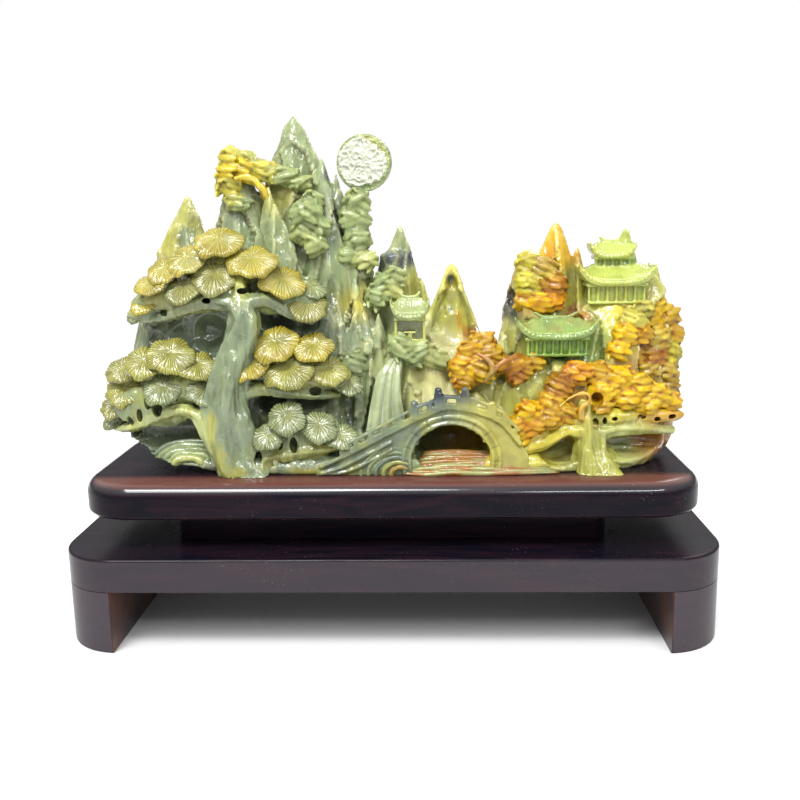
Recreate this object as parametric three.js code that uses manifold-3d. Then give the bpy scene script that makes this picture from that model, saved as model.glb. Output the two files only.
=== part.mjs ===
// A jade boulder carved as a mountain landscape, on a dark rosewood stand.
// Millimetres, +Z up, +X to the viewer's right, -Y towards the viewer.
// The origin is on the floor, under the middle of the stand.
import * as THREE from "three";
import { mergeVertices } from "three/addons/utils/BufferGeometryUtils.js";
import Module from "manifold-3d";

const wasm = await Module();
wasm.setup();

// The stand's sizes.
const TABLE_LENGTH = 420;
const TABLE_DEPTH = 170;
const TABLE_THICKNESS = 21.5;
const TABLE_CORNER = 38;
const TABLE_EDGE = 1.5;
const LEG_HEIGHT = 40.5;
const LEG_WIDTH = 36;
const WAIST_HEIGHT = 21;
const WAIST_SET_BACK_SIDES = 70;
const WAIST_SET_BACK_FRONT = 36;
const WAIST_CORNER = 12;
const TRAY_SET_BACK = 12;
const TRAY_THICKNESS = 22.5;
const TRAY_CORNER = 36;
const TRAY_EDGE = 7;

// The carving is laid out on a grid of a hundred units along its length.
// Every place and size of its landscape below is a share of that length.
const CARVING_LENGTH = 400;
const UNIT = CARVING_LENGTH / 100;
const CARVING_SET_FORWARD = 0;

// The foot of the boulder, seen from above: half its length and half its depth.
const FOOT = { halfLength: 46.5, halfDepth: 12.6, top: 3.2, squareness: 3.4 };
// Nothing of the boulder's rock reaches outside this outline, seen from above.
const BOULDER = { halfLength: 48.6, halfDepth: 13.4, squareness: 3.2, height: 60 };

// Broad masses of rock: middle, half width, half depth and height.
const MASSES = [
  { x: -32, y: 2.8, halfWidth: 14, halfDepth: 9.4, height: 27 },
  { x: -26, y: -0.5, halfWidth: 13, halfDepth: 5.2, height: 35 },
  { x: -12, y: 3.2, halfWidth: 14, halfDepth: 9.2, height: 29 },
  { x: -13, y: -3, halfWidth: 9, halfDepth: 6.5, height: 9 },
  { x: 5, y: 2.5, halfWidth: 12, halfDepth: 9.8, height: 22 },
  { x: 20, y: 1.5, halfWidth: 11, halfDepth: 9.6, height: 17 },
  { x: 35, y: 2.5, halfWidth: 13.5, halfDepth: 9, height: 25 },
];

// Spires: where the tip is, where the middle of the foot is, half width and half depth there,
// and how blunt the point is, from 0 (a column) to 1 (a straight cone).
const SPIRES = [
  { tip: [-33.5, 2, 44.3], foot: [-37, 2], halfWidth: 20, halfDepth: 9, taper: 0.8 },
  { tip: [-24, 2, 49], foot: [-25, 2.4], halfWidth: 8.5, halfDepth: 7, taper: 0.45 },
  { tip: [-15.4, 3, 56.9], foot: [-16, 3.5], halfWidth: 18, halfDepth: 9, taper: 0.7 },
  { tip: [-19.3, -1, 46.5], foot: [-19.5, -0.5], halfWidth: 8.6, halfDepth: 6, taper: 0.8 },
  { tip: [-18.1, -3, 43.8], foot: [-16.5, -1.5], halfWidth: 10.8, halfDepth: 6, taper: 0.8 },
  { tip: [-10.8, 1.5, 50.5], foot: [-10, 2], halfWidth: 9, halfDepth: 7, taper: 0.7 },
  { tip: [-8.9, 2, 48.2], foot: [-3, 2.5], halfWidth: 8, halfDepth: 6, taper: 0.75 },
  { tip: [-5.2, 1.2, 46.6], foot: [-5, 1.6], halfWidth: 5.5, halfDepth: 5.5, taper: 0.35 },
  { tip: [1.8, 1, 38.7], foot: [-1, 1], halfWidth: 5.6, halfDepth: 5, taper: 0.42 },
  { tip: [10.5, 1, 32.5], foot: [10, 1], halfWidth: 7, halfDepth: 6, taper: 0.42 },
  { tip: [24, 0.6, 35], foot: [24, 0.6], halfWidth: 8, halfDepth: 7, taper: 0.38 },
  { tip: [27.5, 1, 38.7], foot: [27.5, 1], halfWidth: 12, halfDepth: 7, taper: 0.7 },
  { tip: [31.2, 1, 35.6], foot: [31.2, 1], halfWidth: 7, halfDepth: 6, taper: 0.8 },
  { tip: [38.8, 2, 37.3], foot: [38.8, 2], halfWidth: 9, halfDepth: 6, taper: 0.7 },
  { tip: [42, 2, 31.5], foot: [42, 2], halfWidth: 9, halfDepth: 8, taper: 0.3 },
];

// The pine's needle pads, tier by tier: x, y, z and radius of each.
const PINE_TIERS = {
  top: [
    [-26.8, -6, 37.1, 3.7], [-31.8, -7, 34.2, 2.9], [-21.4, -7, 33.8, 3.7], [-35.6, -7, 32.6, 2.6],
    [-27.3, -8, 31.5, 3.4], [-32.3, -8, 29.8, 3.2], [-37.7, -8, 30.4, 2.3], [-16.7, -7, 30.6, 3.4],
    [-39.2, -6.5, 27.4, 2.4], [-41.3, -4.5, 25.2, 1.9], [-12.8, -7, 26.8, 3.2],
  ],
  left: [
    [-34.9, -9, 19.1, 3.4], [-39.2, -9, 18, 2.7], [-30.8, -9, 17.4, 2.8], [-43.7, -7, 16.3, 2.3],
    [-36.2, -10, 13.8, 2.9], [-29.6, -10, 13.3, 2.7], [-44, -7.5, 13.3, 3], [-46, -6.5, 10.2, 2.1],
    [-46.6, -5.5, 7.6, 1.6],
  ],
  middle: [
    [-17.9, -9, 20.7, 3.4], [-11.8, -9, 20.2, 2.8], [-21.9, -10, 17.5, 2.8], [-15.9, -10, 16.7, 3.7],
    [-9.5, -9, 16.2, 2.8], [-6.4, -8, 13.7, 1.8],
  ],
  low: [
    [-16.1, -12, 9.3, 2.9], [-11.1, -12, 8, 2.7], [-18.8, -12, 6.7, 2.5], [-8, -12, 5.2, 1.9],
  ],
};
// How far each tier's pads lean towards the viewer, in degrees.
const PAD_LEAN = { top: 35, left: 38, middle: 38, low: 50 };
const PAD_FLUTES = 8;
// How far each pad's stalk runs back into the rock.
const PAD_ROOT = 4;

// The broad-leaved trees' clumps of leaves: x, y, z and radius of each.
const LEAF_CLUMPS = {
  crown: [
    [-26, 1.6, 49.8, 2.1], [-22.6, 1.6, 49.6, 1.9], [-26.4, 1.2, 46.6, 2.4], [-24, 0.8, 43.6, 2.4],
    [-20.4, 1.4, 48.4, 2.4], [-16.9, 0.8, 47.6, 1.9], [-14.2, 0.8, 46.2, 1.8],
  ],
  stair: [
    [-11.9, -2.5, 43.6, 1.4], [-12.8, -3, 40.9, 2.8], [-13.9, -3.5, 37.6, 2.1], [-11, -3.5, 37, 2.1],
  ],
  column: [
    [-5, -0.5, 42.7, 2.3], [-5.4, -0.5, 39.9, 2.6], [-4.9, -1.5, 36.9, 2.5], [-5.2, -1.5, 33.9, 2.7],
  ],
  middle: [
    [0.5, -3, 29.4, 2.2], [2.3, -7, 20, 2.4], [5.3, -7, 18.6, 2.6], [-6, -5.4, 17, 2.3],
  ],
  summit: [
    [22.9, -1, 32.4, 2.2], [25.7, -1.5, 30.8, 2.7], [23, -2.2, 28.2, 2.9], [25.2, -3.2, 25.4, 3],
  ],
  slope: [
    [15.7, -5, 20.6, 2.4], [14.6, -7, 18, 3.2], [13, -8, 15.4, 2.8], [20.3, -7, 15.6, 3.6],
  ],
  side: [
    [42.8, -2, 23.4, 2.7], [46, -0.5, 21.2, 2.5], [42.4, -3.8, 17.8, 3], [46.2, -2, 16.4, 2.4],
    [45.4, -3, 12.8, 2.5],
  ],
  front: [
    [31.6, -7, 15.4, 3], [27.7, -9, 12.8, 3.2], [34.7, -8, 13.4, 3.3], [39.5, -8, 12.2, 3.6],
    [44.4, -7.8, 8.6, 3], [22.6, -10, 10.7, 2.8], [19.6, -11, 7.4, 2.9], [24.8, -11, 8.4, 2.7],
    [38.6, -9, 8.8, 3.1], [29.2, -10, 9.6, 2.6],
  ],
};

// Trunks and boughs: the points each passes through, and its radius at the start and at the end.
const BOUGHS = [
  { path: [[-24, -9.4, 0.6], [-25.9, -10, 7], [-26, -9.8, 12], [-25, -9.4, 17], [-23.4, -9, 21],
    [-22.4, -8.6, 25], [-24, -8.2, 27.8], [-28, -8, 27.4], [-33, -7.6, 26], [-38.5, -6, 24.6]],
    radii: [4.8, 3.4, 3, 2.5, 2.3, 2.1, 1.7, 1.3, 1, 0.7], sides: 7 },
  { path: [[-22.6, -8.2, 27], [-19, -7.4, 27.2], [-14.5, -6.4, 24.8], [-12, -5, 24]],
    radii: [1.3, 1, 0.9, 0.8] },
  { path: [[-26, -10.8, 0.8], [-28.4, -10.6, 4], [-29.5, -10.3, 8.5], [-31, -9.9, 10.8],
    [-34.5, -9.2, 10.4], [-39, -8, 8.2], [-45.4, -5.4, 6.2]], radii: [1.6, 1.3, 1.1, 1, 0.9, 0.8, 0.6] },
  { path: [[-25, -9.2, 12.5], [-21, -9.2, 13.4], [-16, -8.8, 12.8], [-10, -7, 12.2]],
    radii: [1.2, 1.1, 0.9, 0.7] },
  { path: [[-23, -10.6, 1.6], [-18.5, -11, 3], [-13.5, -11, 4.2], [-8.6, -10.4, 4.4]],
    radii: [1.3, 0.9, 0.8, 0.6] },
  { path: [[33, -10.4, 0.6], [32, -10, 4.4], [31.7, -9.4, 7.4], [31, -8.4, 10]],
    radii: [3.2, 1.7, 1.3, 1] },
  { path: [[32, -9.8, 5], [35.4, -9.2, 6.4], [40.5, -8.2, 6.4], [46.2, -6, 5.2]],
    radii: [1.3, 1, 0.9, 0.8] },
  { path: [[31.8, -10, 5.6], [28.2, -10.2, 6.4], [24, -10.4, 4.4], [20, -10.4, 3.6]],
    radii: [1.1, 0.9, 0.8, 0.6] },
];

const MOON = { x: -3.6, y: 0.8, z: 49.3, radius: 4.5, thickness: 2.2, turn: -14, rim: 0.5 };

// The arched bridge: its deck's line along the front, its depth, and the arch under it.
const BRIDGE = {
  front: -13.2, back: -8.4,
  deck: [[-13, 1.4], [-6.5, 5.2], [-1, 8.3], [4, 10.6], [9, 11.4], [14, 10.9], [19, 8.2], [22, 3.4], [23, 0.6]],
  arch: { x: 10, halfWidth: 6.1, springing: 2.4, rise: 6, depth: 7 },
  rail: 0.9, posts: [[8, 13.1], [12.2, 12.9]], postSize: 1,
};

// Roofed halls: middle of the eaves, roof length, depth and height, wall height and number of columns.
const HALLS = [
  { at: [3.6, -6.2, 24.3], length: 6.6, depth: 4.6, roof: 3, wall: 3.6, columns: 2 },
  { at: [36.3, -1.6, 33.2], length: 7.8, depth: 4.6, roof: 2.4, wall: 2.8, columns: 2 },
  { at: [37, -2.2, 28.9], length: 12, depth: 7, roof: 2.4, wall: 3.8, columns: 4 },
  { at: [27, -5.6, 20.9], length: 13, depth: 7, roof: 3.4, wall: 3.6, columns: 4 },
];

// The waterfall's strands fan out from one lip.
const WATERFALL = { lip: [0.4, -6.4, 18.2], foot: [-1.4, -9.2, 9.2], spread: 4.6, strands: 3, radius: 0.9 };

// Points on the carving's grid, in millimetres.
const at = (x, y, z) => new THREE.Vector3(x * UNIT, y * UNIT, z * UNIT);

// A closed mesh as a solid for joining and cutting.
function solidOf(geometry) {
  const plain = geometry.index ? geometry.toNonIndexed() : geometry.clone();
  plain.deleteAttribute("normal");
  plain.deleteAttribute("uv");
  const merged = mergeVertices(plain, 1e-3);
  return new wasm.Manifold(new wasm.Mesh({
    numProp: 3,
    vertProperties: new Float32Array(merged.attributes.position.array),
    triVerts: new Uint32Array(merged.index.array),
  }));
}

const joined = (solids) => solids.reduce((whole, next) => whole.add(next));

function geometryOf(solid) {
  const mesh = solid.getMesh();
  const geometry = new THREE.BufferGeometry();
  geometry.setAttribute("position", new THREE.BufferAttribute(new Float32Array(mesh.vertProperties), 3));
  geometry.setIndex(new THREE.BufferAttribute(new Uint32Array(mesh.triVerts), 1));
  geometry.computeVertexNormals();
  return geometry;
}

// Moves every vertex of a geometry by a function that changes the point it is given.
function reshape(geometry, change) {
  const place = geometry.attributes.position;
  const point = new THREE.Vector3();
  for (let i = 0; i < place.count; i += 1) {
    point.fromBufferAttribute(place, i);
    change(point);
    place.setXYZ(i, point.x, point.y, point.z);
  }
  return geometry;
}

// A turned shape with its axis upright: profile points are [radius, height], from axis to axis.
function turned(profile, sides) {
  const points = profile.map(([radius, height]) => new THREE.Vector2(radius, height));
  return new THREE.LatheGeometry(points, sides).rotateX(Math.PI / 2);
}

// Which of the turned shape's sides a point is on, counted from where the turning starts.
const sideOf = (point, sides) => Math.round(((Math.atan2(point.y, point.x) / Math.PI + 0.5) / 2) * sides);

// How far a superellipse reaches in a direction, for half axes of one.
const reach = (angle, squareness) =>
  (Math.abs(Math.cos(angle)) ** squareness + Math.abs(Math.sin(angle)) ** squareness) ** (-1 / squareness);

// Turns a unit lathe into an oval body of the given half length and half depth.
function oval(geometry, halfLength, halfDepth, squareness) {
  return reshape(geometry, (p) => {
    const share = reach(Math.atan2(p.y, p.x), squareness);
    p.set(p.x * share * halfLength * UNIT, p.y * share * halfDepth * UNIT, p.z);
  });
}

function foot() {
  const top = FOOT.top * UNIT;
  const profile = [[0, 0], [0.97, 0], [1, 0.45 * top], [0.9, top], [0, top * 1.15]];
  return solidOf(oval(turned(profile, 24), FOOT.halfLength, FOOT.halfDepth, FOOT.squareness));
}

function boulderOutline() {
  const top = BOULDER.height * UNIT;
  const profile = [[0, 0], [0.97, 0], [1, 0.1 * top], [1, top], [0, top]];
  return solidOf(oval(turned(profile, 24), BOULDER.halfLength, BOULDER.halfDepth, BOULDER.squareness));
}

function mass({ x, y, halfWidth, halfDepth, height }) {
  const top = height * UNIT;
  const profile = [[0, 0], [1, 0], [0.92, 0.72 * top], [0.5, 0.97 * top], [0, top]];
  const body = oval(turned(profile, 8).rotateZ(Math.PI / 8), halfWidth, halfDepth, 3);
  return solidOf(body.translate(x * UNIT, y * UNIT, 0));
}

function spire({ tip, foot: [footX, footY], halfWidth, halfDepth, taper }, index) {
  const [tipX, tipY, height] = tip;
  const shares = [0, 0.5, 0.84];
  const profile = [[0, 0], ...shares.map((share) => [(1 - share) ** taper, share]), [0, 1]];
  const turn = index * 0.7;
  const body = turned(profile, 5).rotateZ(turn);
  reshape(body, (p) => {
    const middleX = footX + (tipX - footX) * p.z;
    const middleY = footY + (tipY - footY) * p.z;
    p.set((p.x * halfWidth + middleX) * UNIT, (p.y * halfDepth + middleY) * UNIT, p.z * height * UNIT);
  });
  return solidOf(body);
}

// A pine pad: a shallow fluted dome, on a stalk that runs back into the rock.
function pad([x, y, z, radius], lean, turn) {
  const sides = PAD_FLUTES * 2;
  const profile = [[0, -0.6], [1, 0], [0, 0.24]];
  const tilt = new THREE.Matrix4().makeRotationFromEuler(new THREE.Euler(lean, 0, turn, "ZXY"));
  return solidOf(reshape(turned(profile, sides), (p) => {
    const root = p.z < -0.5 ? 1 : 0;
    const flute = sideOf(p, sides) % 2 === 0 ? 1 : -1;
    const lift = Math.hypot(p.x, p.y) > 0.5 ? 0.05 * flute : 0;
    p.set(p.x * (1 + 0.06 * flute), p.y * (1 + 0.06 * flute), p.z + lift);
    p.multiplyScalar(radius * UNIT).applyMatrix4(tilt);
    p.add(at(x * (1 - 0.05 * root), y + PAD_ROOT * root, z));
  }));
}

function pads() {
  return Object.entries(PINE_TIERS).flatMap(([tier, places]) => {
    const middle = places.reduce((sum, place) => sum + place[0], 0) / places.length;
    const lean = THREE.MathUtils.degToRad(PAD_LEAN[tier]);
    return places.map((place) => pad(place, lean, (place[0] - middle) * 0.04));
  });
}

// A clump of leaves: rows of lobes that overlap like tiles, on an oval body.
function clump([x, y, z, radius], index) {
  const lobes = 4;
  const profile = [[0, -1], [0.9, -0.45], [0.9, 0.45], [0, 1]];
  const body = turned(profile, lobes * 2);
  reshape(body, (p) => {
    const out = Math.hypot(p.x, p.y);
    if (out < 0.01) return;
    const row = p.z > 0 ? 1 : 0;
    const swell = (row + sideOf(p, lobes * 2)) % 2 === 0 ? 1.2 : 0.88;
    p.set(p.x * swell, p.y * swell, p.z - 0.1 * (swell - 1));
  });
  body.rotateZ(index * 1.3);
  body.scale(1.08 * radius * UNIT, 0.85 * radius * UNIT, 0.82 * radius * UNIT);
  const centre = at(x, y, z);
  return solidOf(body.translate(centre.x, centre.y, centre.z));
}

const clumps = () => Object.values(LEAF_CLUMPS).flat().map(clump);

// A trunk or bough: a round bar bent along a smooth line, with its own radius at each point.
function bough({ path, radii, sides = 5 }) {
  const line = new THREE.CatmullRomCurve3(path.map(([x, y, z]) => at(x, y, z)));
  const stations = Math.max(path.length, 4);
  const frames = line.computeFrenetFrames(stations - 1, false);
  const radiusAt = (share) => {
    const place = share * (radii.length - 1);
    const before = Math.min(Math.floor(place), radii.length - 2);
    return THREE.MathUtils.lerp(radii[before], radii[before + 1], place - before) * UNIT;
  };
  const profile = [[0, 0]];
  for (let i = 0; i < stations; i += 1) profile.push([1, i]);
  profile.push([0, stations - 1]);
  const body = turned(profile, sides);
  reshape(body, (p) => {
    const station = Math.round(p.z);
    const share = station / (stations - 1);
    const centre = line.getPointAt(share);
    const radius = radiusAt(share);
    centre.addScaledVector(frames.normals[station], p.x * radius);
    p.copy(centre.addScaledVector(frames.binormals[station], p.y * radius));
  });
  return solidOf(body);
}

function moon() {
  const { x, y, z, radius, thickness, turn, rim } = MOON;
  const half = thickness / 2;
  const profile = [[0, -half], [radius, rim - half], [radius, half - rim], [0, half]];
  const disc = turned(profile.map((point) => point.map((size) => size * UNIT)), 20);
  disc.rotateX(Math.PI / 2).rotateZ(THREE.MathUtils.degToRad(turn));
  const centre = at(x, y, z);
  return solidOf(disc.translate(centre.x, centre.y, centre.z));
}

// An upright plate in the XZ plane, from its outline, between two depths.
function plate(outline, front, back) {
  const shape = new THREE.Shape(outline.map(([x, z]) => new THREE.Vector2(x * UNIT, z * UNIT)));
  const depth = (back - front) * UNIT;
  const body = new THREE.ExtrudeGeometry(shape, { depth, bevelEnabled: false });
  return solidOf(body.rotateX(Math.PI / 2).translate(0, back * UNIT, 0));
}

function archOutline({ x, halfWidth, springing, rise }, grow) {
  const outline = [[x - halfWidth - grow, 1.2]];
  const steps = 12;
  for (let i = 0; i <= steps; i += 1) {
    const angle = Math.PI * (1 - i / steps);
    outline.push([x + (halfWidth + grow) * Math.cos(angle), springing + (rise + grow) * Math.sin(angle)]);
  }
  outline.push([x + halfWidth + grow, 1.2]);
  return outline;
}

function bridge() {
  const { front, back, deck, rail, posts, postSize, arch } = BRIDGE;
  const ends = [deck[0][0], deck[deck.length - 1][0]];
  const body = plate([[ends[0], 0], [ends[1], 0], ...[...deck].reverse()], front, back);
  const railing = [[ends[0], 0.5], [ends[1], 0.5], ...[...deck].reverse().map(([x, z]) => [x, z + rail])];
  const frontRail = plate(railing, front - 0.35, front + 0.45);
  const backRail = plate(railing, back - 0.3, back + 0.3);
  const knobs = posts.map(([x, z]) => {
    const base = z - 2;
    return plate([[x - postSize / 2, base], [x + postSize / 2, base], [x + postSize / 2, z - 0.4],
      [x, z + 0.3], [x - postSize / 2, z - 0.4]], front - 0.6, front + 0.6);
  });
  return { body: [body, frontRail, backRail, ...knobs], hollow: archHollow(arch, front) };
}

function archHollow(arch, front) {
  return plate(archOutline(arch, 0), front - 2, front + arch.depth);
}

// A hipped roof with a hollow slope and corners that turn up.
function roof({ at: [x, y, z], length, depth, roof: height }) {
  const body = new THREE.BoxGeometry(1, 1, 1, 4, 2, 1);
  reshape(body, (p) => {
    const across = Math.abs(p.x) * 2;
    const deep = Math.abs(p.y) * 2;
    const corner = 0.16 * across ** 3 * (0.3 + 0.7 * deep);
    const slope = Math.min(1 - deep ** 0.8, (1 - across) * 2.4);
    const top = p.z > 0 ? 0.24 + 0.76 * Math.max(slope, 0) : 0;
    const swell = 1 + 0.04 * deep * across;
    p.set((x + p.x * length * swell) * UNIT, (y + p.y * depth * swell) * UNIT, (z + (top + corner) * height) * UNIT);
  });
  return solidOf(body);
}

function hall(form) {
  const { at: [x, y, z], length, depth, wall, columns } = form;
  const inner = new THREE.BoxGeometry(length * 0.66 * UNIT, depth * 0.75 * UNIT, (wall + 0.6) * UNIT);
  inner.translate(x * UNIT, (y + depth * 0.12) * UNIT, (z - wall / 2 + 0.2) * UNIT);
  const parts = [roof(form), solidOf(inner)];
  const sill = new THREE.BoxGeometry(length * 0.9 * UNIT, depth * 0.86 * UNIT, 0.6 * UNIT);
  parts.push(solidOf(sill.translate(x * UNIT, y * UNIT, (z - wall) * UNIT)));
  for (let i = 0; i < columns; i += 1) {
    const share = i / (columns - 1) - 0.5;
    const post = new THREE.CylinderGeometry(0.34 * UNIT, 0.34 * UNIT, (wall + 0.5) * UNIT, 4).rotateX(Math.PI / 2);
    post.translate((x + share * length * 0.78) * UNIT, (y - depth * 0.34) * UNIT, (z - wall / 2 + 0.15) * UNIT);
    parts.push(solidOf(post));
  }
  return parts;
}

function waterfall() {
  const { lip, foot: base, spread, strands, radius } = WATERFALL;
  return Array.from({ length: strands }, (_, i) => {
    const share = i / (strands - 1) - 0.5;
    const end = [base[0] + share * spread, base[1], base[2]];
    const bend = [lip[0] + share * spread * 0.55, lip[1] - 1.6, lip[2] - 2.6];
    return bough({ path: [lip, bend, end], radii: [radius * 0.7, radius, radius * 1.2] });
  });
}

function carving() {
  const rock = joined([foot(), ...MASSES.map(mass), ...SPIRES.map(spire)]);
  const trimmed = rock.intersect(boulderOutline());
  const { body, hollow } = bridge();
  const raised = [
    ...pads(), ...clumps(), ...BOUGHS.map(bough), moon(), ...HALLS.flatMap(hall), ...waterfall(),
  ];
  const bridged = joined([trimmed, ...body]).subtract(hollow);
  const aboveTray = new THREE.BoxGeometry(200 * UNIT, 60 * UNIT, 80 * UNIT).translate(0, 0, 40 * UNIT);
  return geometryOf(joined([bridged, ...raised]).intersect(solidOf(aboveTray)));
}

// A flat board with rounded corners, seen from above.
function boardShape(length, depth, corner) {
  const [x, y] = [length / 2, depth / 2];
  const shape = new THREE.Shape();
  shape.moveTo(-x + corner, -y);
  shape.lineTo(x - corner, -y);
  shape.absarc(x - corner, -y + corner, corner, -Math.PI / 2, 0);
  shape.lineTo(x, y - corner);
  shape.absarc(x - corner, y - corner, corner, 0, Math.PI / 2);
  shape.lineTo(-x + corner, y);
  shape.absarc(-x + corner, y - corner, corner, Math.PI / 2, Math.PI);
  shape.lineTo(-x, -y + corner);
  shape.absarc(-x + corner, -y + corner, corner, Math.PI, Math.PI * 1.5);
  return shape;
}

// A board of the full thickness whose long edges are rounded to the given radius, above and below.
function board(length, depth, thickness, corner, edge, edgeSteps) {
  const shape = boardShape(length - 2 * edge, depth - 2 * edge, corner - edge);
  return new THREE.ExtrudeGeometry(shape, {
    depth: thickness - 2 * edge, curveSegments: 4,
    bevelThickness: edge, bevelSize: edge, bevelSegments: edgeSteps,
  }).translate(0, 0, edge);
}

// A leg: the end of the table's outline, cut off straight on its inner side.
function leg(side) {
  const shape = boardShape(TABLE_LENGTH, TABLE_DEPTH, TABLE_CORNER);
  const whole = new THREE.ExtrudeGeometry(shape, { depth: LEG_HEIGHT, curveSegments: 4, bevelEnabled: false });
  const keep = new THREE.BoxGeometry(LEG_WIDTH * 2, TABLE_DEPTH * 2, LEG_HEIGHT * 4);
  keep.translate((side * TABLE_LENGTH) / 2, 0, 0);
  return geometryOf(solidOf(whole).intersect(solidOf(keep)));
}

const ROSEWOOD = { color: 0x2a1316, roughness: 0.38, metalness: 0 };
const JADE = { color: 0xa9ab62, roughness: 0.24, metalness: 0 };

function piece(name, geometry, look, height) {
  const mesh = new THREE.Mesh(geometry, new THREE.MeshStandardMaterial(look));
  mesh.name = name;
  mesh.position.z = height;
  return mesh;
}

const TABLE_TOP = LEG_HEIGHT + TABLE_THICKNESS;
const WAIST_TOP = TABLE_TOP + WAIST_HEIGHT;
const TRAY_TOP = WAIST_TOP + TRAY_THICKNESS;

const table = board(TABLE_LENGTH, TABLE_DEPTH, TABLE_THICKNESS, TABLE_CORNER, TABLE_EDGE, 1);
const waist = new THREE.ExtrudeGeometry(
  boardShape(TABLE_LENGTH - 2 * WAIST_SET_BACK_SIDES, TABLE_DEPTH - 2 * WAIST_SET_BACK_FRONT, WAIST_CORNER),
  { depth: WAIST_HEIGHT, curveSegments: 3, bevelEnabled: false },
);
const tray = board(
  TABLE_LENGTH - 2 * TRAY_SET_BACK, TABLE_DEPTH - 2 * TRAY_SET_BACK, TRAY_THICKNESS, TRAY_CORNER, TRAY_EDGE, 2,
);

const jade = piece("jade_carving", carving(), JADE, TRAY_TOP);
jade.position.y = -CARVING_SET_FORWARD;

const group = new THREE.Group();
group.add(
  piece("left_leg", leg(-1), ROSEWOOD, 0),
  piece("right_leg", leg(1), ROSEWOOD, 0),
  piece("table_board", table, ROSEWOOD, LEG_HEIGHT),
  piece("waist_block", waist, ROSEWOOD, TABLE_TOP),
  piece("tray_board", tray, ROSEWOOD, WAIST_TOP),
  jade,
);

export default group;
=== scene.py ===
"""A jade boulder carved as a mountain landscape, on a stepped rosewood stand.

Lengths are metres, +Z is up, +X is to the viewer's right and -Y is towards the viewer.
The landscape is laid out in hundredths of the carving's length, counted from the middle of the
stand's tray. Shapes are pairs of points and faces until they are finished pieces.
"""

import math
import random

import bmesh
import bpy
import numpy as np
from mathutils import Matrix, Vector, kdtree, noise


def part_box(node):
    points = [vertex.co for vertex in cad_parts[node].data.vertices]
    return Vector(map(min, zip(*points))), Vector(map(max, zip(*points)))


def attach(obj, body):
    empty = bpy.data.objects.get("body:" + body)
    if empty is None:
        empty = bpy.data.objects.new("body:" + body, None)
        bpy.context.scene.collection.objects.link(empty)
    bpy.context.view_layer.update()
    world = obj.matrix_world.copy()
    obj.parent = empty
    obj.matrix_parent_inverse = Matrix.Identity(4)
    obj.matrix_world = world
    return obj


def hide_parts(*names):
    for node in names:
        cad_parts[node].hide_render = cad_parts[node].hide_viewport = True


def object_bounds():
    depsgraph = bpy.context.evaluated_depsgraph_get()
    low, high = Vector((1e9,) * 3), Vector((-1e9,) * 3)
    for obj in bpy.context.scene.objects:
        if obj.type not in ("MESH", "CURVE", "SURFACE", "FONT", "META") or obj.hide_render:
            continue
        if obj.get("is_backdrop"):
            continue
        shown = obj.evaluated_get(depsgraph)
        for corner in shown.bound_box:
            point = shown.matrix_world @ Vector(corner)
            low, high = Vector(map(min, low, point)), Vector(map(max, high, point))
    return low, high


bl_info = {
    "name": "Jade Boulder Carving",
    "version": (1, 0, 0),
    "blender": (4, 5, 0),
    "location": "View3D > Sidebar > Carving",
    "description": "Makes a carved jade landscape and its rosewood stand",
    "category": "Add Mesh",
}

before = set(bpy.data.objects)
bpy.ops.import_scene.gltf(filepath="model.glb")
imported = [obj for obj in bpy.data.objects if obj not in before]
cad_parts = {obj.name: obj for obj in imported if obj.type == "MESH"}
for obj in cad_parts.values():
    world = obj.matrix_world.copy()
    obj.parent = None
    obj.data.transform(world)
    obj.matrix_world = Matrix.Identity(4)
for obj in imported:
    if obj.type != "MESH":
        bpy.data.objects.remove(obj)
CAD_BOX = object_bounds()
TRAY_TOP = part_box("jade_carving")[0][2]


# The landscape's layout, in hundredths of the carving's length.

# Broad masses of rock: x, y, half width, half depth, height.
MASSES = [
    (-31, 3.2, 13.5, 9, 27),
    (-26, 0.5, 13, 5.2, 35),
    (-12, 3.6, 14, 8.8, 29),
    (-13, -2, 9, 6.5, 9),
    (5, 3, 12, 9.2, 22),
    (20, 2, 11, 9, 17),
    (34.5, 3.6, 13.5, 8, 25),
    (-35, -3, 9.5, 7.2, 4.6),
    (35, -3.5, 12.5, 7.6, 8.5),
    (4, -3, 14, 7.6, 6),
    (27, -4, 8, 4.4, 17.4),
    (37, 0, 8, 4.4, 25),
]

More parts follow.
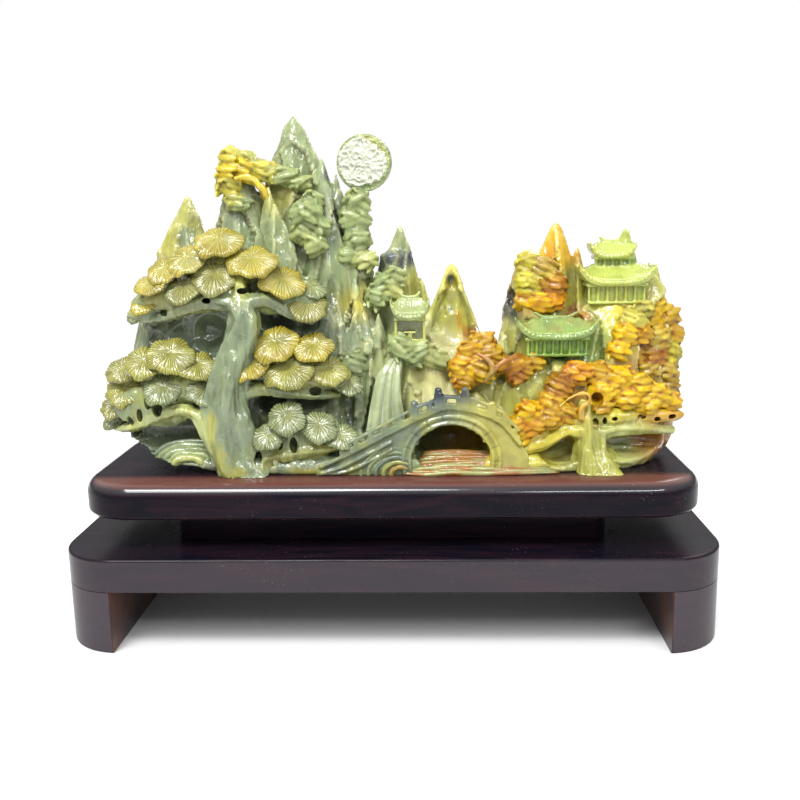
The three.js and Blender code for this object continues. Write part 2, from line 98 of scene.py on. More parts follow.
# Spires: tip, foot, half width and half depth at the foot, bluntness, sharpness of the ridges, and blades.
SPIRES = [
    ((-33.2, 1.4, 45), (-37, 2), 19, 9, 0.86, 1.15, 4),
    ((-36.6, 1.4, 39.2), (-38.4, 1.4), 7, 6, 0.9, 1.1, 2),
    ((-24, 2, 49), (-25, 2.4), 8.5, 7, 0.45, 1.5, 8),
    ((-15.4, 3, 57.3), (-16, 3.5), 18, 9, 0.72, 1.12, 12),
    ((-19.3, -1, 46.5), (-19.5, -0.5), 8.6, 6, 0.8, 1.1, 1),
    ((-18.1, -3, 43.8), (-16.5, -1.5), 10.8, 6, 0.8, 1.08, 0),
    ((-10.8, 1.5, 50.8), (-10, 2), 9, 7, 0.75, 1.15, 5),
    ((-10.4, -1, 48.4), (-8.5, -2), 8, 5, 0.75, 1.1, 5),
    ((-8.6, 2, 48.6), (-5.4, 2.5), 6, 6, 0.8, 1.15, 3),
    ((-5.6, 1.2, 45.6), (-5.4, 1.6), 4.4, 5, 0.4, 1.4, 2),
    ((2, 1, 40.4), (1.2, 1), 13.6, 4.4, 0.9, 1.1, 0),
    ((1, 1.2, 35.2), (1, 1.2), 3.9, 4, 0.12, 1.7, 0),
    ((10.4, 1, 32.1), (10.2, 1), 9, 6, 0.7, 1.3, 0),
    ((24, 0.6, 35), (24, 0.6), 8, 7, 0.38, 1.5, 4),
    ((27.6, 0.6, 39.4), (27.2, 1), 8.6, 6, 0.58, 1.15, 3),
    ((31.2, 0.6, 35.8), (31.2, 1), 7, 6, 0.8, 1.2, 2),
    ((39.2, -0.6, 38.6), (39, 1), 8, 5, 0.82, 1.15, 1),
    ((42.4, 1, 32.5), (42, 2), 9, 8, 0.4, 1.6, 3),
    ((-5.4, -4.2, 31.5), (-4.5, -3), 5.4, 4.4, 0.8, 1.1, 3),
    ((-1.6, -4.6, 26), (-1, -4), 4.6, 4, 0.8, 1.1, 2),
    ((-9.4, -3.6, 34), (-9, -2.4), 5, 4, 0.8, 1.1, 2),
    ((21, -6.4, 15.8), (20.2, -5.8), 7, 3.8, 0.5, 1.25, 1),
    ((6.8, -6, 17.6), (7.6, -5.6), 4.8, 3, 0.45, 1.4, 1),
    ((11.2, -6.2, 15.6), (11.6, -6), 3.8, 3, 0.5, 1.3, 1),
    ((3.4, -5.4, 18.8), (3.8, -5), 3, 3, 0.5, 1.4, 0),
    ((30.6, -5.6, 20.4), (32, -4.8), 10.5, 4.2, 0.85, 1.15, 3),
    ((36, -2.8, 27.2), (34.6, -3.2), 13, 6.2, 0.42, 1.5, 3),
    ((14, -7, 12.6), (15, -6), 6, 4, 0.7, 1.4, 0),
]

# Hollows cut into the rock: x, y, z and the half sizes of each.
HOLLOWS = [
    (-29.2, -8, 22.2, 4.4, 5.6, 4),
    (-34.4, -8, 21.8, 3.4, 5, 3.8),
    (-39.2, -6.6, 21, 2.4, 4.4, 3),
    (-18.4, -8, 24.2, 3.6, 7, 3),
    (-13.4, -8, 23.4, 2.6, 5.2, 1.8),
    (-36.5, -9, 6.2, 8.2, 5, 3.7),
    (-19.6, -9.5, 10.6, 3.1, 8.4, 2.9),
    (-13.2, -9.4, 10.9, 4.6, 6.2, 2),
    (27.4, -11, 3.7, 4, 5.4, 2.9),
    (39.9, -11, 3.9, 6.2, 5.6, 2.9),
    (10, -9, 3.4, 6, 10.5, 4.8),
    (10.3, -3.3, 22.6, 3, 2.3, 3.6), (10.4, -2.5, 26.6, 2, 2.3, 2.8), (10.4, -1.8, 29.4, 1.1, 2.1, 1.7),
    (30.2, -4, 23.4, 1.6, 3, 1.2),
    (-9, -6, 29, 1.2, 3, 3.2),
    (20.2, -2.2, 27, 1.2, 3, 2),
]

# Raised rims on the panelled peak: the points each passes through, and its radius.
RIMS = [
    ([(5.4, -1.6, 20.5), (7.4, -1.1, 25.6), (9.3, -0.5, 30), (10.4, 0.1, 32.2), (11.5, -0.5, 30),
      (13.3, -1.1, 25.6), (15.4, -1.6, 20.5)], 0.5),
    ([(8.8, -1.2, 28.2), (10.4, -1.3, 28.5), (12, -1.2, 28.2)], 0.36),
]

# Webs of stone that carry the boughs, pads and leaves: x, y, z, the half sizes and the colour of each.
WEBS = [
    (-38.2, -8, 10.6, 7, 1.4, 3.4, "sage"), (-33, -8.2, 13.4, 5, 1.5, 2.6, "sage"),
    (-36, -6.4, 16.2, 8.5, 2, 2.2, "olive"), (-15.4, -10.4, 4.4, 6.4, 1.3, 3.6, "sage"),
    (-19.4, -10.6, 2.8, 3.4, 1.4, 3.2, "sage"), (-14.4, -7.4, 15.4, 8.6, 2, 2.6, "olive"),
    (-31.6, -6.4, 27.6, 9.6, 2, 2, "olive"), (-25.8, -4.4, 32.4, 7.2, 2, 2.6, "olive"),
    (-17.4, -5.8, 27.4, 6, 2, 2.2, "sage"), (-39.4, -4.8, 25.4, 3.4, 1.6, 1.5, "sage"),
    (35.6, -9.2, 8.3, 4.6, 1.1, 1.6, "straw"), (41.6, -8.4, 8.3, 5, 1.1, 1.35, "honey"),
    (45.2, -7.2, 8.3, 2.6, 1.1, 1.15, "honey"), (28.6, -9.6, 7.4, 4.4, 1.2, 2.2, "straw"),
    (22.4, -10, 5.6, 4.2, 1.1, 2.2, "mustard"), (15.5, -5.8, 16.6, 3.4, 1.5, 2.8, "honey"),
]

# Small holes through the webs, in the same way.
HOLES = [
    (-39.1, -8, 11.4, 0.55, 4, 1.3), (-37.5, -8, 10.4, 0.95, 4, 1.5), (-40.6, -8, 9.3, 0.6, 4, 1.3),
    (-42.4, -8, 8.3, 0.5, 4, 0.9), (-36, -8, 12, 0.5, 4, 0.8), (-34.4, -8, 12, 0.4, 4, 0.5),
    (-20.9, -11, 2.6, 0.75, 3, 1.4), (-17.6, -11, 1.6, 0.9, 3, 0.9), (-17.4, -11, 5, 0.6, 3, 1.1),
    (-15.2, -11, 4.8, 0.75, 3, 1.3), (-16.4, -11, 6.4, 0.5, 3, 0.7), (-11.8, -8.8, 13, 1, 3, 0.75),
    (-22.9, -6, 29.2, 1.2, 4, 0.8), (-36, -7, 25.8, 0.8, 4, 0.6), (-28.6, -7, 27.8, 0.9, 4, 0.6),
    (32.9, -9, 7.5, 0.7, 4, 1.1), (34.4, -9, 8, 0.45, 4, 0.7), (35.9, -9, 8.3, 0.6, 4, 0.45),
    (40.4, -9, 8.4, 0.7, 4, 0.5), (42.9, -9, 8, 0.55, 4, 0.45), (45.3, -9, 8.3, 0.7, 4, 0.4),
    (24, -10, 6.7, 0.7, 4, 0.75), (22.1, -10, 5.4, 0.7, 4, 0.45), (20.3, -10, 3.9, 0.5, 4, 0.5),
]

# The pine's needle pads, tier by tier: x, y, z, radius and colour of each.
PINE_TIERS = {
    "top": (38, [
        (-26.8, -6, 36.9, 3.8, "straw"), (-31.8, -7, 34.2, 3.2, "lemon"), (-21.4, -7, 33.8, 3.9, "straw"),
        (-35.6, -7, 32.6, 2.9, "straw"), (-27.3, -8, 31.5, 3.7, "olive"), (-32.3, -8, 29.8, 3.5, "olive"),
        (-37.7, -8, 30.4, 2.6, "straw"), (-16.7, -7, 30.6, 3.7, "straw"), (-39.2, -6.5, 27.6, 2.7, "straw"),
        (-41.3, -4.5, 25.6, 2.1, "sage"), (-12.8, -7, 26.8, 3.4, "olive"), (-12.2, -5.5, 29.3, 2.4, "sage"),
    ]),
    "left": (42, [
        (-34.9, -9, 19.1, 3.7, "lime"), (-39.4, -9, 18, 3, "lime"), (-30.6, -9, 17.4, 3.1, "lime"),
        (-43.7, -7, 16.5, 2.7, "olive"), (-36.2, -10, 13.9, 3.1, "sage"), (-29.4, -10, 13.4, 3, "sage"),
        (-43.6, -7.5, 13.2, 3.1, "lime"), (-45.8, -6.5, 10.2, 2.3, "olive"), (-46.4, -5.5, 7.6, 1.8, "sage"),
    ]),
    "middle": (42, [
        (-17.9, -9, 20.7, 3.6, "straw"), (-11.8, -9, 20.2, 3.1, "straw"), (-21.9, -10, 17.5, 3.1, "straw"),
        (-15.9, -10, 16.7, 4, "lime"), (-9.7, -9, 16.4, 3.2, "lime"), (-6.4, -8, 14, 2.3, "sage"),
    ]),
    "low": (44, [
        (-16.1, -12, 9.3, 3.1, "sage"), (-10.9, -12, 7.8, 2.9, "sage"), (-19, -12, 6.4, 2.7, "sage"),
        (-7.4, -12, 6.2, 2.5, "sage"),
    ]),
}

# The broad-leaved trees' masses of leaves: width, height and pointedness of a leaf, then x, y, z, radius and
# colour of each mass.
LEAF_CLUMPS = {
    "crown_leaves": (2.8, 1.1, 0.03, [
        (-25.4, 1, 50.2, 1.8, "lemon"), (-22.6, 1.2, 50, 1.6, "lime"), (-25.8, 0.4, 48, 1.9, "mustard"),
        (-23.2, 0.2, 48.2, 1.8, "mustard"), (-26, 0.2, 45.8, 1.8, "lemon"), (-20.4, 0.6, 48.3, 1.8, "lemon"),
        (-24.8, 0, 43.3, 1.8, "lime"), (-18, 0.2, 47.4, 1.7, "lime"), (-15.9, 0, 47, 1.5, "celadon"),
        (-13.9, 0, 45.8, 1.4, "celadon"), (-23.5, -0.2, 42.8, 1.3, "celadon"),
    ]),
    "peak_leaves": (2.3, 1, 0.02, [
        (-11.9, -2.5, 43.5, 1.4, "celadon"), (-12.9, -3, 41, 2.4, "celadon"),
        (-13.9, -3, 38.2, 1.7, "celadon"), (-11.6, -3.2, 36.1, 1.7, "celadon"),
        (-10.5, -2.8, 39.1, 1.6, "celadon"), (-5, -0.5, 42.9, 2.1, "celadon"),
        (-5.4, -0.5, 40.1, 2.4, "celadon"), (-4.9, -1.2, 36.9, 2.1, "celadon"),
        (-6.2, -1.2, 34.4, 1.9, "celadon"), (-3.6, -1.4, 33.4, 1.8, "pale"),
        (1.2, -3, 31, 1.5, "celadon"), (-0.3, -3, 29.8, 1.8, "celadon"), (-1.8, -3.4, 27.8, 1.8, "celadon"),
        (1, -3.4, 28.4, 1.5, "pale"),
        (-6, -5.4, 16.8, 2.2, "sage"),
        (2.3, -7, 20, 2.2, "celadon"), (5.1, -7, 18.9, 2.3, "celadon"), (7.6, -6.6, 18, 1.8, "pale"),
    ]),
    "slope_leaves": (2.2, 1, 0.06, [
        (22.9, -1, 32.5, 2, "straw"), (25.5, -1.5, 31.4, 2.4, "tan"), (22.8, -2, 29.4, 2.3, "straw"),
        (27.1, -2.3, 29.2, 2.2, "rust"), (24.6, -3, 26, 2.2, "gold"), (22.4, -2.6, 26.4, 1.7, "gold"),
        (26.9, -2.6, 26.4, 1.7, "amber"),
        (15.4, -5.6, 20.4, 1.9, "honey"), (13.4, -6.6, 18.6, 2.1, "gold"), (16.6, -6.6, 18.2, 1.9, "honey"),
        (11.8, -7.4, 16.2, 2, "gold"), (14.8, -7.6, 16, 2.2, "honey"), (11.9, -8, 14.2, 1.6, "honey"),
        (19.4, -7, 16.8, 1.5, "rust"), (21.4, -7.4, 16.4, 1.9, "rust"), (23.4, -7, 17.2, 1.5, "honey"),
        (20.6, -7.6, 14.8, 1.5, "rust"),
        (41, -4, 25.2, 1.6, "lemon"), (39.4, -5.2, 23.4, 1.9, "lemon"), (38, -6, 21.2, 1.9, "gold"),
        (36.8, -6.8, 18.9, 1.7, "gold"), (40.4, -4.8, 21.2, 1.9, "amber"),
        (43.4, -1, 25.6, 2.1, "gold"), (45.8, -0.6, 23.4, 2.1, "honey"), (42.4, -2, 23, 2.3, "gold"),
        (46.4, -0.6, 20.4, 2.2, "honey"), (43.6, -2.4, 20.2, 2.5, "tan"), (40.8, -3, 20.6, 1.9, "rust"),
        (46, -1.4, 17.4, 2.2, "straw"), (42.8, -3, 17.4, 2.5, "rust"), (39.6, -4, 17.4, 2, "rust"),
        (45.4, -2.4, 14.6, 2.2, "tan"), (42, -3.8, 14.8, 2.2, "tan"), (45.8, -2.6, 12, 2, "tan"),
    ]),
    "golden_leaves": (2.3, 1.02, 0.06, [
        (30.4, -7.6, 15.4, 2.1, "amber"), (33.6, -7.4, 15.2, 2, "honey"), (36.8, -7.8, 14.4, 2.2, "gold"),
        (34.6, -8.6, 12.4, 2.1, "gold"), (39.8, -7.8, 13.2, 2.3, "gold"), (38.2, -8.8, 11.2, 2, "gold"),
        (42.8, -7.6, 11.6, 2.2, "gold"), (45.2, -6.8, 10.2, 1.8, "gold"), (41.4, -8.6, 10.2, 1.6, "gold"),
        (27.4, -8.4, 13.4, 2.2, "rust"), (26.2, -9.2, 11, 2.1, "honey"), (28.4, -9.6, 9.2, 1.9, "honey"),
        (34, -9.4, 10.2, 1.6, "honey"), (25.6, -10.2, 8.6, 1.9, "honey"), (22.4, -10, 9.6, 2.1, "gold"),
        (19.8, -10.6, 7.2, 2, "gold"), (22.8, -10.4, 7.4, 1.9, "amber"), (18.9, -10.8, 5, 1.6, "gold"),
        (21.2, -10.8, 5.4, 1.3, "gold"),
    ]),
}

# Dark gaps between the golden leaves, in the same way as the hollows.
LEAF_HOLES = [(29.9, -11, 11.3, 0.9, 3, 0.9), (33.1, -11, 11.6, 1, 3, 1.1)]

# Trunks and boughs: the points each passes through, its radius at each, and its colour.
BOUGHS = [
    ([(-23.6, -8.4, -0.6), (-24.8, -9, 3), (-25.9, -9.6, 7.2), (-26.1, -9.6, 12.1), (-25.1, -9.4, 16.8),
      (-23.6, -9, 20.8), (-22.7, -8.6, 24.4), (-24, -8.3, 27.2), (-27.6, -8, 27.9),
      (-31.6, -7.6, 26.9), (-35.7, -6.8, 25.2), (-39.6, -5.2, 24.6)],
     [5.6, 4.5, 3.9, 3.4, 3, 2.6, 2.4, 2, 1.4, 1.1, 0.9, 0.6], "bark"),
    ([(-23, -8.4, 27), (-23.4, -7.8, 30), (-25, -6.5, 32.5)], [1.4, 1, 0.8], "lime"),
    ([(-23.2, -8.5, 26.2), (-19.6, -7.8, 27.8), (-15.2, -6.8, 25.4), (-12, -5.4, 24)],
     [1.6, 1.1, 0.9, 0.8], "bark"),
    ([(-25.6, -11.2, -0.4), (-27.2, -11.4, 3), (-28.9, -11, 6.6), (-30.6, -10.5, 9.4),
      (-33.4, -9.9, 10.3), (-37.3, -9.1, 9.3), (-41.6, -7.8, 7.3), (-45.6, -5.8, 6.4)],
     [2.1, 1.5, 1.25, 1.1, 0.95, 0.8, 0.75, 0.6], "pale"),
    ([(-25, -9, 12), (-20.6, -9.4, 13.6), (-16.6, -9.1, 13), (-11.8, -8.3, 12.3), (-8, -7, 12)],
     [1.3, 1.1, 0.9, 0.8, 0.5], "sage"),
    ([(-22, -10.2, 0.4), (-19.8, -11.2, 2.2), (-15.7, -11.4, 3.2), (-9.3, -11.2, 4.2), (-6.6, -10.4, 4.4)],
     [1.8, 1.1, 0.9, 0.8, 0.5], "olive"),
    ([(33.1, -9.4, -0.6), (32.2, -9.8, 3), (31.9, -9.8, 5.4), (31.4, -9.4, 8), (31.6, -8.6, 11)],
     [5, 2.7, 2, 1.6, 1], "lime"),
    ([(32, -10, 5), (35.3, -9.6, 6.2), (40.1, -9, 6.4), (46.2, -6.8, 5.6)], [1.6, 1.1, 0.9, 0.7], "pale"),
    ([(31.8, -10, 5.4), (28.4, -10.4, 6.5), (24.4, -10.6, 4.2), (19.8, -10.8, 3.2)],
     [1.4, 1, 0.9, 0.7], "straw"),
    ([(30.6, -10.6, 8.4), (30.6, -11.2, 10.4), (31.8, -11.3, 11.6), (31, -11.3, 12.7), (28.8, -11.1, 12),
      (27, -10.8, 10.4)], [0.6, 0.46, 0.34, 0.28, 0.25, 0.2], "honey"),
    ([(15.4, -9, 14.4), (16.6, -9.8, 16), (16.2, -9.8, 17.6), (14.2, -9.6, 19)],
     [0.6, 0.5, 0.4, 0.3], "rust"),
    ([(16.6, -9.8, 15.8), (18, -9.6, 17.4), (19.6, -8.8, 17.8)], [0.4, 0.35, 0.3], "rust"),
    ([(-19.4, -0.6, 43.6), (-20.6, -1.4, 45.6), (-22.2, -1.8, 47), (-24.6, -1.8, 46.8)], [0.8, 0.6, 0.5, 0.3],
     "mustard"),
]

# Patches of colour in the rock, seen from the front: x, z, reach and colour.
PATCHES = [
    (-36, 40, 5, "lime"), (-37.6, 36.6, 3.4, "lemon"), (-31, 41, 4, "olive"), (-38, 30, 7, "grey_green"),
    (-40, 15, 8, "grey_green"), (-30, 5, 9, "grey_green"), (-20, 16, 8, "grey_green"),
    (-25, 44, 5, "grey_green"), (-15, 52, 8, "sage"), (-18, 44, 4, "lime"), (-18, 36, 7, "sage"),
    (-10, 40, 6, "grey_green"), (-10, 47, 4, "sage"), (-6, 46, 3, "sage"), (-3, 36, 6, "sage"),
    (-6, 22, 5, "grey_green"), (-2, 21, 5, "sage"), (-5, 26, 3, "lemon"), (1.8, 37.6, 3, "sage"),
    (2.5, 28, 3, "lime"), (10.5, 31, 3, "lemon"), (10.5, 25, 5, "lime"), (12.5, 22, 3, "lemon"),
    (6, 16, 4, "lemon"), (-4, 12, 6, "sage"), (-8, 4, 9, "grey_green"), (4, 5, 6, "sage"),
    (12, 4, 5, "honey"), (18, 12, 6, "lime"), (8, 14, 8, "cream"), (4, 20, 5, "pale"), (2, 14, 4, "pale"),
    (7, 17, 4, "cream"), (22, 13, 4, "lime"), (24, 32, 5, "tan"), (27.5, 36, 6, "gold"), (29, 30, 3, "pale"),
    (34, 28, 6, "lemon"), (40, 32, 6, "lime"), (38, 20, 4, "lemon"), (38, 25, 4.4, "mustard"),
    (33.4, 24, 3.4, "pale_green"), (32, 19.4, 5, "glass_green"), (42, 20, 5, "tan"), (45, 12, 5, "tan"),
    (30, 8, 6, "honey"), (40, 6, 5, "tan"), (35, 1, 8, "pale"), (20, 2, 6, "lemon"), (46, 2, 4, "rust"),
]

# Stains with clear edges: x, z, half width, half height and colour.
STAINS = [
    (1.4, 33.6, 4.4, 1.5, "night"), (-0.6, 32.2, 2.4, 1.6, "night"), (3.4, 34, 1.4, 1.6, "night"),
    (-11.5, 0.8, 4.5, 1, "lemon"), (20, 25.4, 1.7, 3.4, "night"), (-10.4, 47.4, 0.9, 1.5, "night"),
    (-10.6, 35.6, 1.3, 1.4, "slate"), (-7.4, 36.6, 0.5, 1, "night"), (26.2, 22, 2, 0.8, "rust"),
    (12.2, 24, 0.6, 1.6, "honey"), (10.4, 30.6, 0.9, 0.8, "slate"), (12.2, 22, 0.6, 1, "honey"),
    (10.6, 25.6, 0.6, 0.7, "bark"), (27.6, 36, 2.6, 4.4, "gold"), (31, 24.2, 2.4, 1.5, "rust"),
    (37, 15, 3, 2.4, "rust"), (38, 3.4, 2.6, 1.4, "celadon"), (44, 9, 3, 2.6, "rust"),
    (13.6, 20.6, 1.2, 1.6, "rust"), (30.4, 33, 1.6, 2.2, "honey"), (26.4, 35, 0.7, 2.4, "amber"),
    (-33.6, 37.4, 1.4, 1.6, "grey_green"), (45.6, 2.6, 1.6, 1.8, "rust"), (27, 3, 2.2, 1.6, "pale"),
    (42.6, 4.6, 2.2, 1.6, "rust"),
]

# Yellow-green streaks on the pine's trunk, in the same way.
TRUNK_STREAKS = [(-28, 7.4, 1, 3.6, "lime"), (-26.6, 3.2, 1, 2.6, "lime"), (-24.6, 0.8, 2.2, 1, "lime")]

# The boulder's ends, left and right of its middle, from the tray up: z, and how far out each reaches.
OUTLINE = [
    (0, 44.5, 43.5), (3, 46.4, 46), (9, 45.4, 48.2), (18.5, 43.8, 48), (23, 42.6, 45.6), (31, 43.2, 44.8),
    (60, 43, 44),
]

# How far the boulder reaches in front and behind, and how square it is from above.
HALF_DEPTH = 13.2
SQUARENESS = 3.2

# How far the boulder's underside stands off the tray: x and z.
UNDERSIDE = [(-46, 6.4), (-41.3, 3.5), (-35, 1.5), (-26.5, 0)]


# Shapes

def settings():
    return bpy.context.scene.jade_carving


def unit():
    """One hundredth of the carving's length, in metres."""
    return settings().carving_length / 100


def turned(profile, steps):
    """A closed shape turned round Z, from (radius, height) points that start and end on the axis."""
    shape = bmesh.new()
    line = [shape.verts.new((radius, 0, height)) for radius, height in profile]
    edges = [shape.edges.new(pair) for pair in zip(line, line[1:])]
    bmesh.ops.spin(
        shape, geom=line + edges, axis=(0, 0, 1), cent=(0, 0, 0), angle=2 * math.pi, steps=steps,
        use_merge=True,
    )
    bmesh.ops.remove_doubles(shape, verts=shape.verts, dist=1e-5)
    bmesh.ops.recalc_face_normals(shape, faces=shape.faces)
    return taken(shape)


def ball(across, down):
    """A unit ball with the given counts of faces round it and down its side."""
    shape = bmesh.new()
    bmesh.ops.create_uvsphere(shape, u_segments=across, v_segments=down, radius=1)
    return taken(shape)


def block(size, bevel=0.0):
    """A box of the given size round the origin, with its edges eased."""
    shape = bmesh.new()
    bmesh.ops.create_cube(shape, size=1)
    bmesh.ops.scale(shape, vec=size, verts=shape.verts)
    if bevel:
        ease(shape, shape.edges, bevel, 2)
    return taken(shape)


def ease(shape, edges, offset, segments, **options):
    bmesh.ops.bevel(
        shape, geom=edges, offset=offset, offset_type="OFFSET", affect="EDGES", segments=segments,
        profile=0.5, material=-1, **options,
    )


def taken(shape):
    """The points and faces of a bmesh, which is freed."""
    shape.verts.index_update()
    points = np.array([vert.co for vert in shape.verts])
    faces = [[vert.index for vert in face.verts] for face in shape.faces]
    shape.free()
    return points, faces


def polar(points):
    """Each point's angle round Z and its distance from Z."""
    return np.arctan2(points[:, 1], points[:, 0]), np.hypot(points[:, 0], points[:, 1])


def oval_reach(points, squareness):
    """How far a squared oval of unit size reaches on the side of each point."""
    angle, _ = polar(points)
    return (abs(np.cos(angle)) ** squareness + abs(np.sin(angle)) ** squareness) ** (-1 / squareness)


def turn_of(angle, axis):
    return Matrix.Rotation(angle, 3, axis)


def ramp(value, low, high):
    """0 below low, 1 above high, smooth in between."""
    share = np.clip((value - low) / (high - low), 0, 1)
    return share * share * (3 - 2 * share)


def rough(points, size, seed=0.0):
    """Smooth noise from -1 to 1 at each point, with lumps of the given size."""
    return np.array([noise.noise(point) for point in (points / size + seed).tolist()])


def ridged(points, size, seed=0.0):
    """Noise with sharp crests at 1 and round valleys down to about -1."""
    return 1 - 2.6 * abs(rough(points, size, seed))


def relief(points, edges, normals, rounds=8):
    """How far each point stands out from its neighbourhood, which grows with the number of rounds."""
    start, end = edges.T
    count = np.bincount(edges.ravel(), minlength=len(points))
    soft = points.copy()
    for _ in range(rounds):
        for axis in range(3):
            flat = soft[:, axis]
            total = np.bincount(start, flat[end], len(points)) + np.bincount(end, flat[start], len(points))
            soft[:, axis] = total / np.maximum(count, 1)
    return np.sum((points - soft) * normals, axis=1)


class Carved:
    """Carved shapes gathered into one, with the stone's colour at every point."""

    def __init__(self):
        self.points, self.faces, self.colours = [], [], []
        self.count = 0

    def add(self, shape, place=(0, 0, 0), colours=(0, 0, 0)):
        points, faces, *_ = shape
        self.points.append(points + place)
        self.faces += [[index + self.count for index in face] for face in faces]
        self.colours.append(np.broadcast_to(colours, (len(points), 3)))
        self.count += len(points)

    def joined(self):
        return np.concatenate(self.points), self.faces

    def painted(self):
        return self.joined(), np.concatenate(self.colours)


def ellipsoids(places, wobble=0.0):
    """Rounded lumps at the given places: x, y, z and the half sizes of each."""
    lumps = Carved()
    points, faces = ball(20, 14)
    for place in places:
        lump = points * place[3:6] + place[:3]
        lump += (points * rough(lump, 2.2, 4.4)[:, None]) * wobble
        lumps.add((lump, faces))
    return lumps


def along(path, share):
    """A point on the smooth line through the path, at a share of its count of points."""
    place = min(max(share, 0), 0.99999) * (len(path) - 1)
    step = int(place)
    part = place - step
    before = path[max(step - 1, 0)]
    start, end = path[step], path[step + 1]
    after = path[min(step + 2, len(path) - 1)]
    return 0.5 * (
        2 * start + (end - before) * part + (2 * before - 5 * start + 4 * end - after) * part ** 2
        + (3 * start - before - 3 * end + after) * part ** 3
    )


def bough_shape(path, radii, sides=14, bark=0.1):
    """A bar bent along a path, with its own radius at each point, and the grooves that run along it."""
    path = np.array(path, dtype=float)
    stations = (len(path) - 1) * 5 + 1
    points, faces = turned([(0, 0), *((1, level) for level in range(stations)), (0, stations - 1)], sides)
    level = np.rint(points[:, 2]).astype(int)
    shares = np.linspace(0, 1, stations)
    centres = np.array([along(path, share) for share in shares])
    sizes = np.interp(shares, np.linspace(0, 1, len(radii)), radii)
    tangents = np.gradient(centres, axis=0)
    tangents /= np.linalg.norm(tangents, axis=1)[:, None]
    sideways = np.cross(tangents, (0, 1, 0))
    sideways /= np.linalg.norm(sideways, axis=1)[:, None]
    depthways = np.cross(sideways, tangents)
    angle, out = polar(points)
    knots = 1 + bark * np.sin(5 * angle + level * 0.25) + bark * 0.7 * np.sin(3 * angle - level * 0.4 + 1)
    if bark and sides > 30:
        strands = np.stack([np.cos(angle) * 2.4 + level * 0.05, np.sin(angle) * 2.4, level * 0.11], axis=1)
        knots += 0.045 * ridged(strands, 0.55, 3.1) * out
    size = (sizes[level] * out * knots)[:, None]
    bent = centres[level] + sideways[level] * np.cos(angle)[:, None] * size
    bent += depthways[level] * np.sin(angle)[:, None] * size
    return bent, faces, ramp(knots, 1 - bark, 1 + bark)


# Objects

def linked(name, data):
    """A new object in the scene."""
    made = bpy.data.objects.new(name, data)
    bpy.context.scene.collection.objects.link(made)
    return made


def evaluated(piece):
    """A piece's mesh with its modifiers applied."""
    return bpy.data.meshes.new_from_object(piece.evaluated_get(bpy.context.evaluated_depsgraph_get()))


def carrier_of(name, shape, voxel):
    """An object that only carries a shape through modifiers, with a voxel skin as the first."""
    mesh = bpy.data.meshes.new(name)
    mesh.from_pydata(shape[0].tolist(), [], shape[1])
    carrier = linked(name, mesh)
    skin = carrier.modifiers.new("skin", "REMESH")
    skin.mode = "VOXEL"
    skin.voxel_size = voxel
    return carrier


def rows(items, name, kind=float, width=3):
    """One property of all of a mesh's items, as rows of numbers."""
    found = np.empty(len(items) * width, dtype=kind)
    items.foreach_get(name, found)
    return found.reshape(-1, width)


def skinned(shape, voxel, holes=None, smooth=0):
    """One skin round all the shapes, less the holes: its points, faces, normals and edges."""
    used = [carrier_of("carrier", shape, voxel)]
    if holes:
        used.append(carrier_of("cutter", holes.joined(), voxel))
        cut = used[0].modifiers.new("holes", "BOOLEAN")
        cut.operation = "DIFFERENCE"
        cut.solver = "MANIFOLD"
        cut.object = used[1]
    if smooth:
        used[0].modifiers.new("soften", "SMOOTH").iterations = smooth
    mesh = evaluated(used[0])
    for item in used:
        bpy.data.objects.remove(item)
    points, normals = rows(mesh.vertices, "co"), rows(mesh.vertices, "normal")
    faces, edges = [list(face.vertices) for face in mesh.polygons], rows(mesh.edges, "vertices", int, 2)
    bpy.data.meshes.remove(mesh)
    return points, faces, normals, edges


def jade_piece(name, shape, colours, finish=None, most=math.inf):
    """A finished piece of stone on the tray, tied to the frame, thinned to at most so many triangles."""
    points, faces = shape
    mesh = bpy.data.meshes.new(name)
    mesh.from_pydata((points * unit() + (0, 0, TRAY_TOP)).tolist(), [], faces)
    mesh.validate()
    mesh.shade_smooth()
    # The colours carry painted shade and painted highlights from the relief, over the stone's own colour.
    stone_colours = np.ones((len(points), 4), dtype=np.float32)
    stone_colours[:, :3] = np.clip(colours, 0, 1)
    mesh.attributes.new("stone", "FLOAT_COLOR", "POINT").data.foreach_set("color", stone_colours.ravel())
    mesh.materials.append(finish or bpy.data.materials["polished_jade"])
    piece = linked(name, mesh)
    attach(piece, "root")
    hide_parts("jade_carving")
    triangles = sum(len(face.vertices) - 2 for face in mesh.polygons)
    if triangles > most:
        piece.modifiers.new("thin", "DECIMATE").ratio = most / triangles
        thin = evaluated(piece)
        piece.modifiers.clear()
        piece.data = thin


# Colours over the stone

def colour(stone):
    """A colour as linear red, green and blue, where a stone's name stands for its colour in the settings."""
    if isinstance(stone, str):
        return np.array(getattr(settings(), stone)[:3]) * settings().stone_shade
    return np.asarray(stone)


def mix(first, second, share):
    """Colours blended by a share that may differ from point to point."""
    share = np.atleast_1d(share)[:, None]
    return colour(first) * (1 - share) + colour(second) * share


def painted_crease_shade(colours, share=0.55):
    """The richer, darker colour painted into cuts, grooves and creases as shade."""
    return colours * (colours / np.max(colours, axis=-1, keepdims=True)) ** 0.35 * share


def painted_relief_light(colours, out, depth, crease_shade_tint=1, glow=0.05):
    """Colours with painted shade in the cuts, deeper and richer there, and a painted highlight along the
    edges, paler and lifted by glow.
    """
    cuts = ramp(-out, 0, depth)
    highlit_lips = ramp(out, 0.1 * depth, depth)
    return mix(mix(colours, painted_crease_shade(colours) * crease_shade_tint, cuts), colours * 1.32 + glow, highlit_lips * 0.5)


def blended(points, spots, sharpness, ground, least):
    """The colours of the spots, each with its place and reach, blended over a ground colour."""
    total = np.full((len(points), 1), least)
    blend = total * colour(ground)
    for spot, reach, name in spots:
        near = np.exp(-sharpness * np.sum((points - spot) ** 2, axis=1) / reach ** 2)[:, None]
        total = total + near
        blend = blend + near * colour(name)
    return blend / total


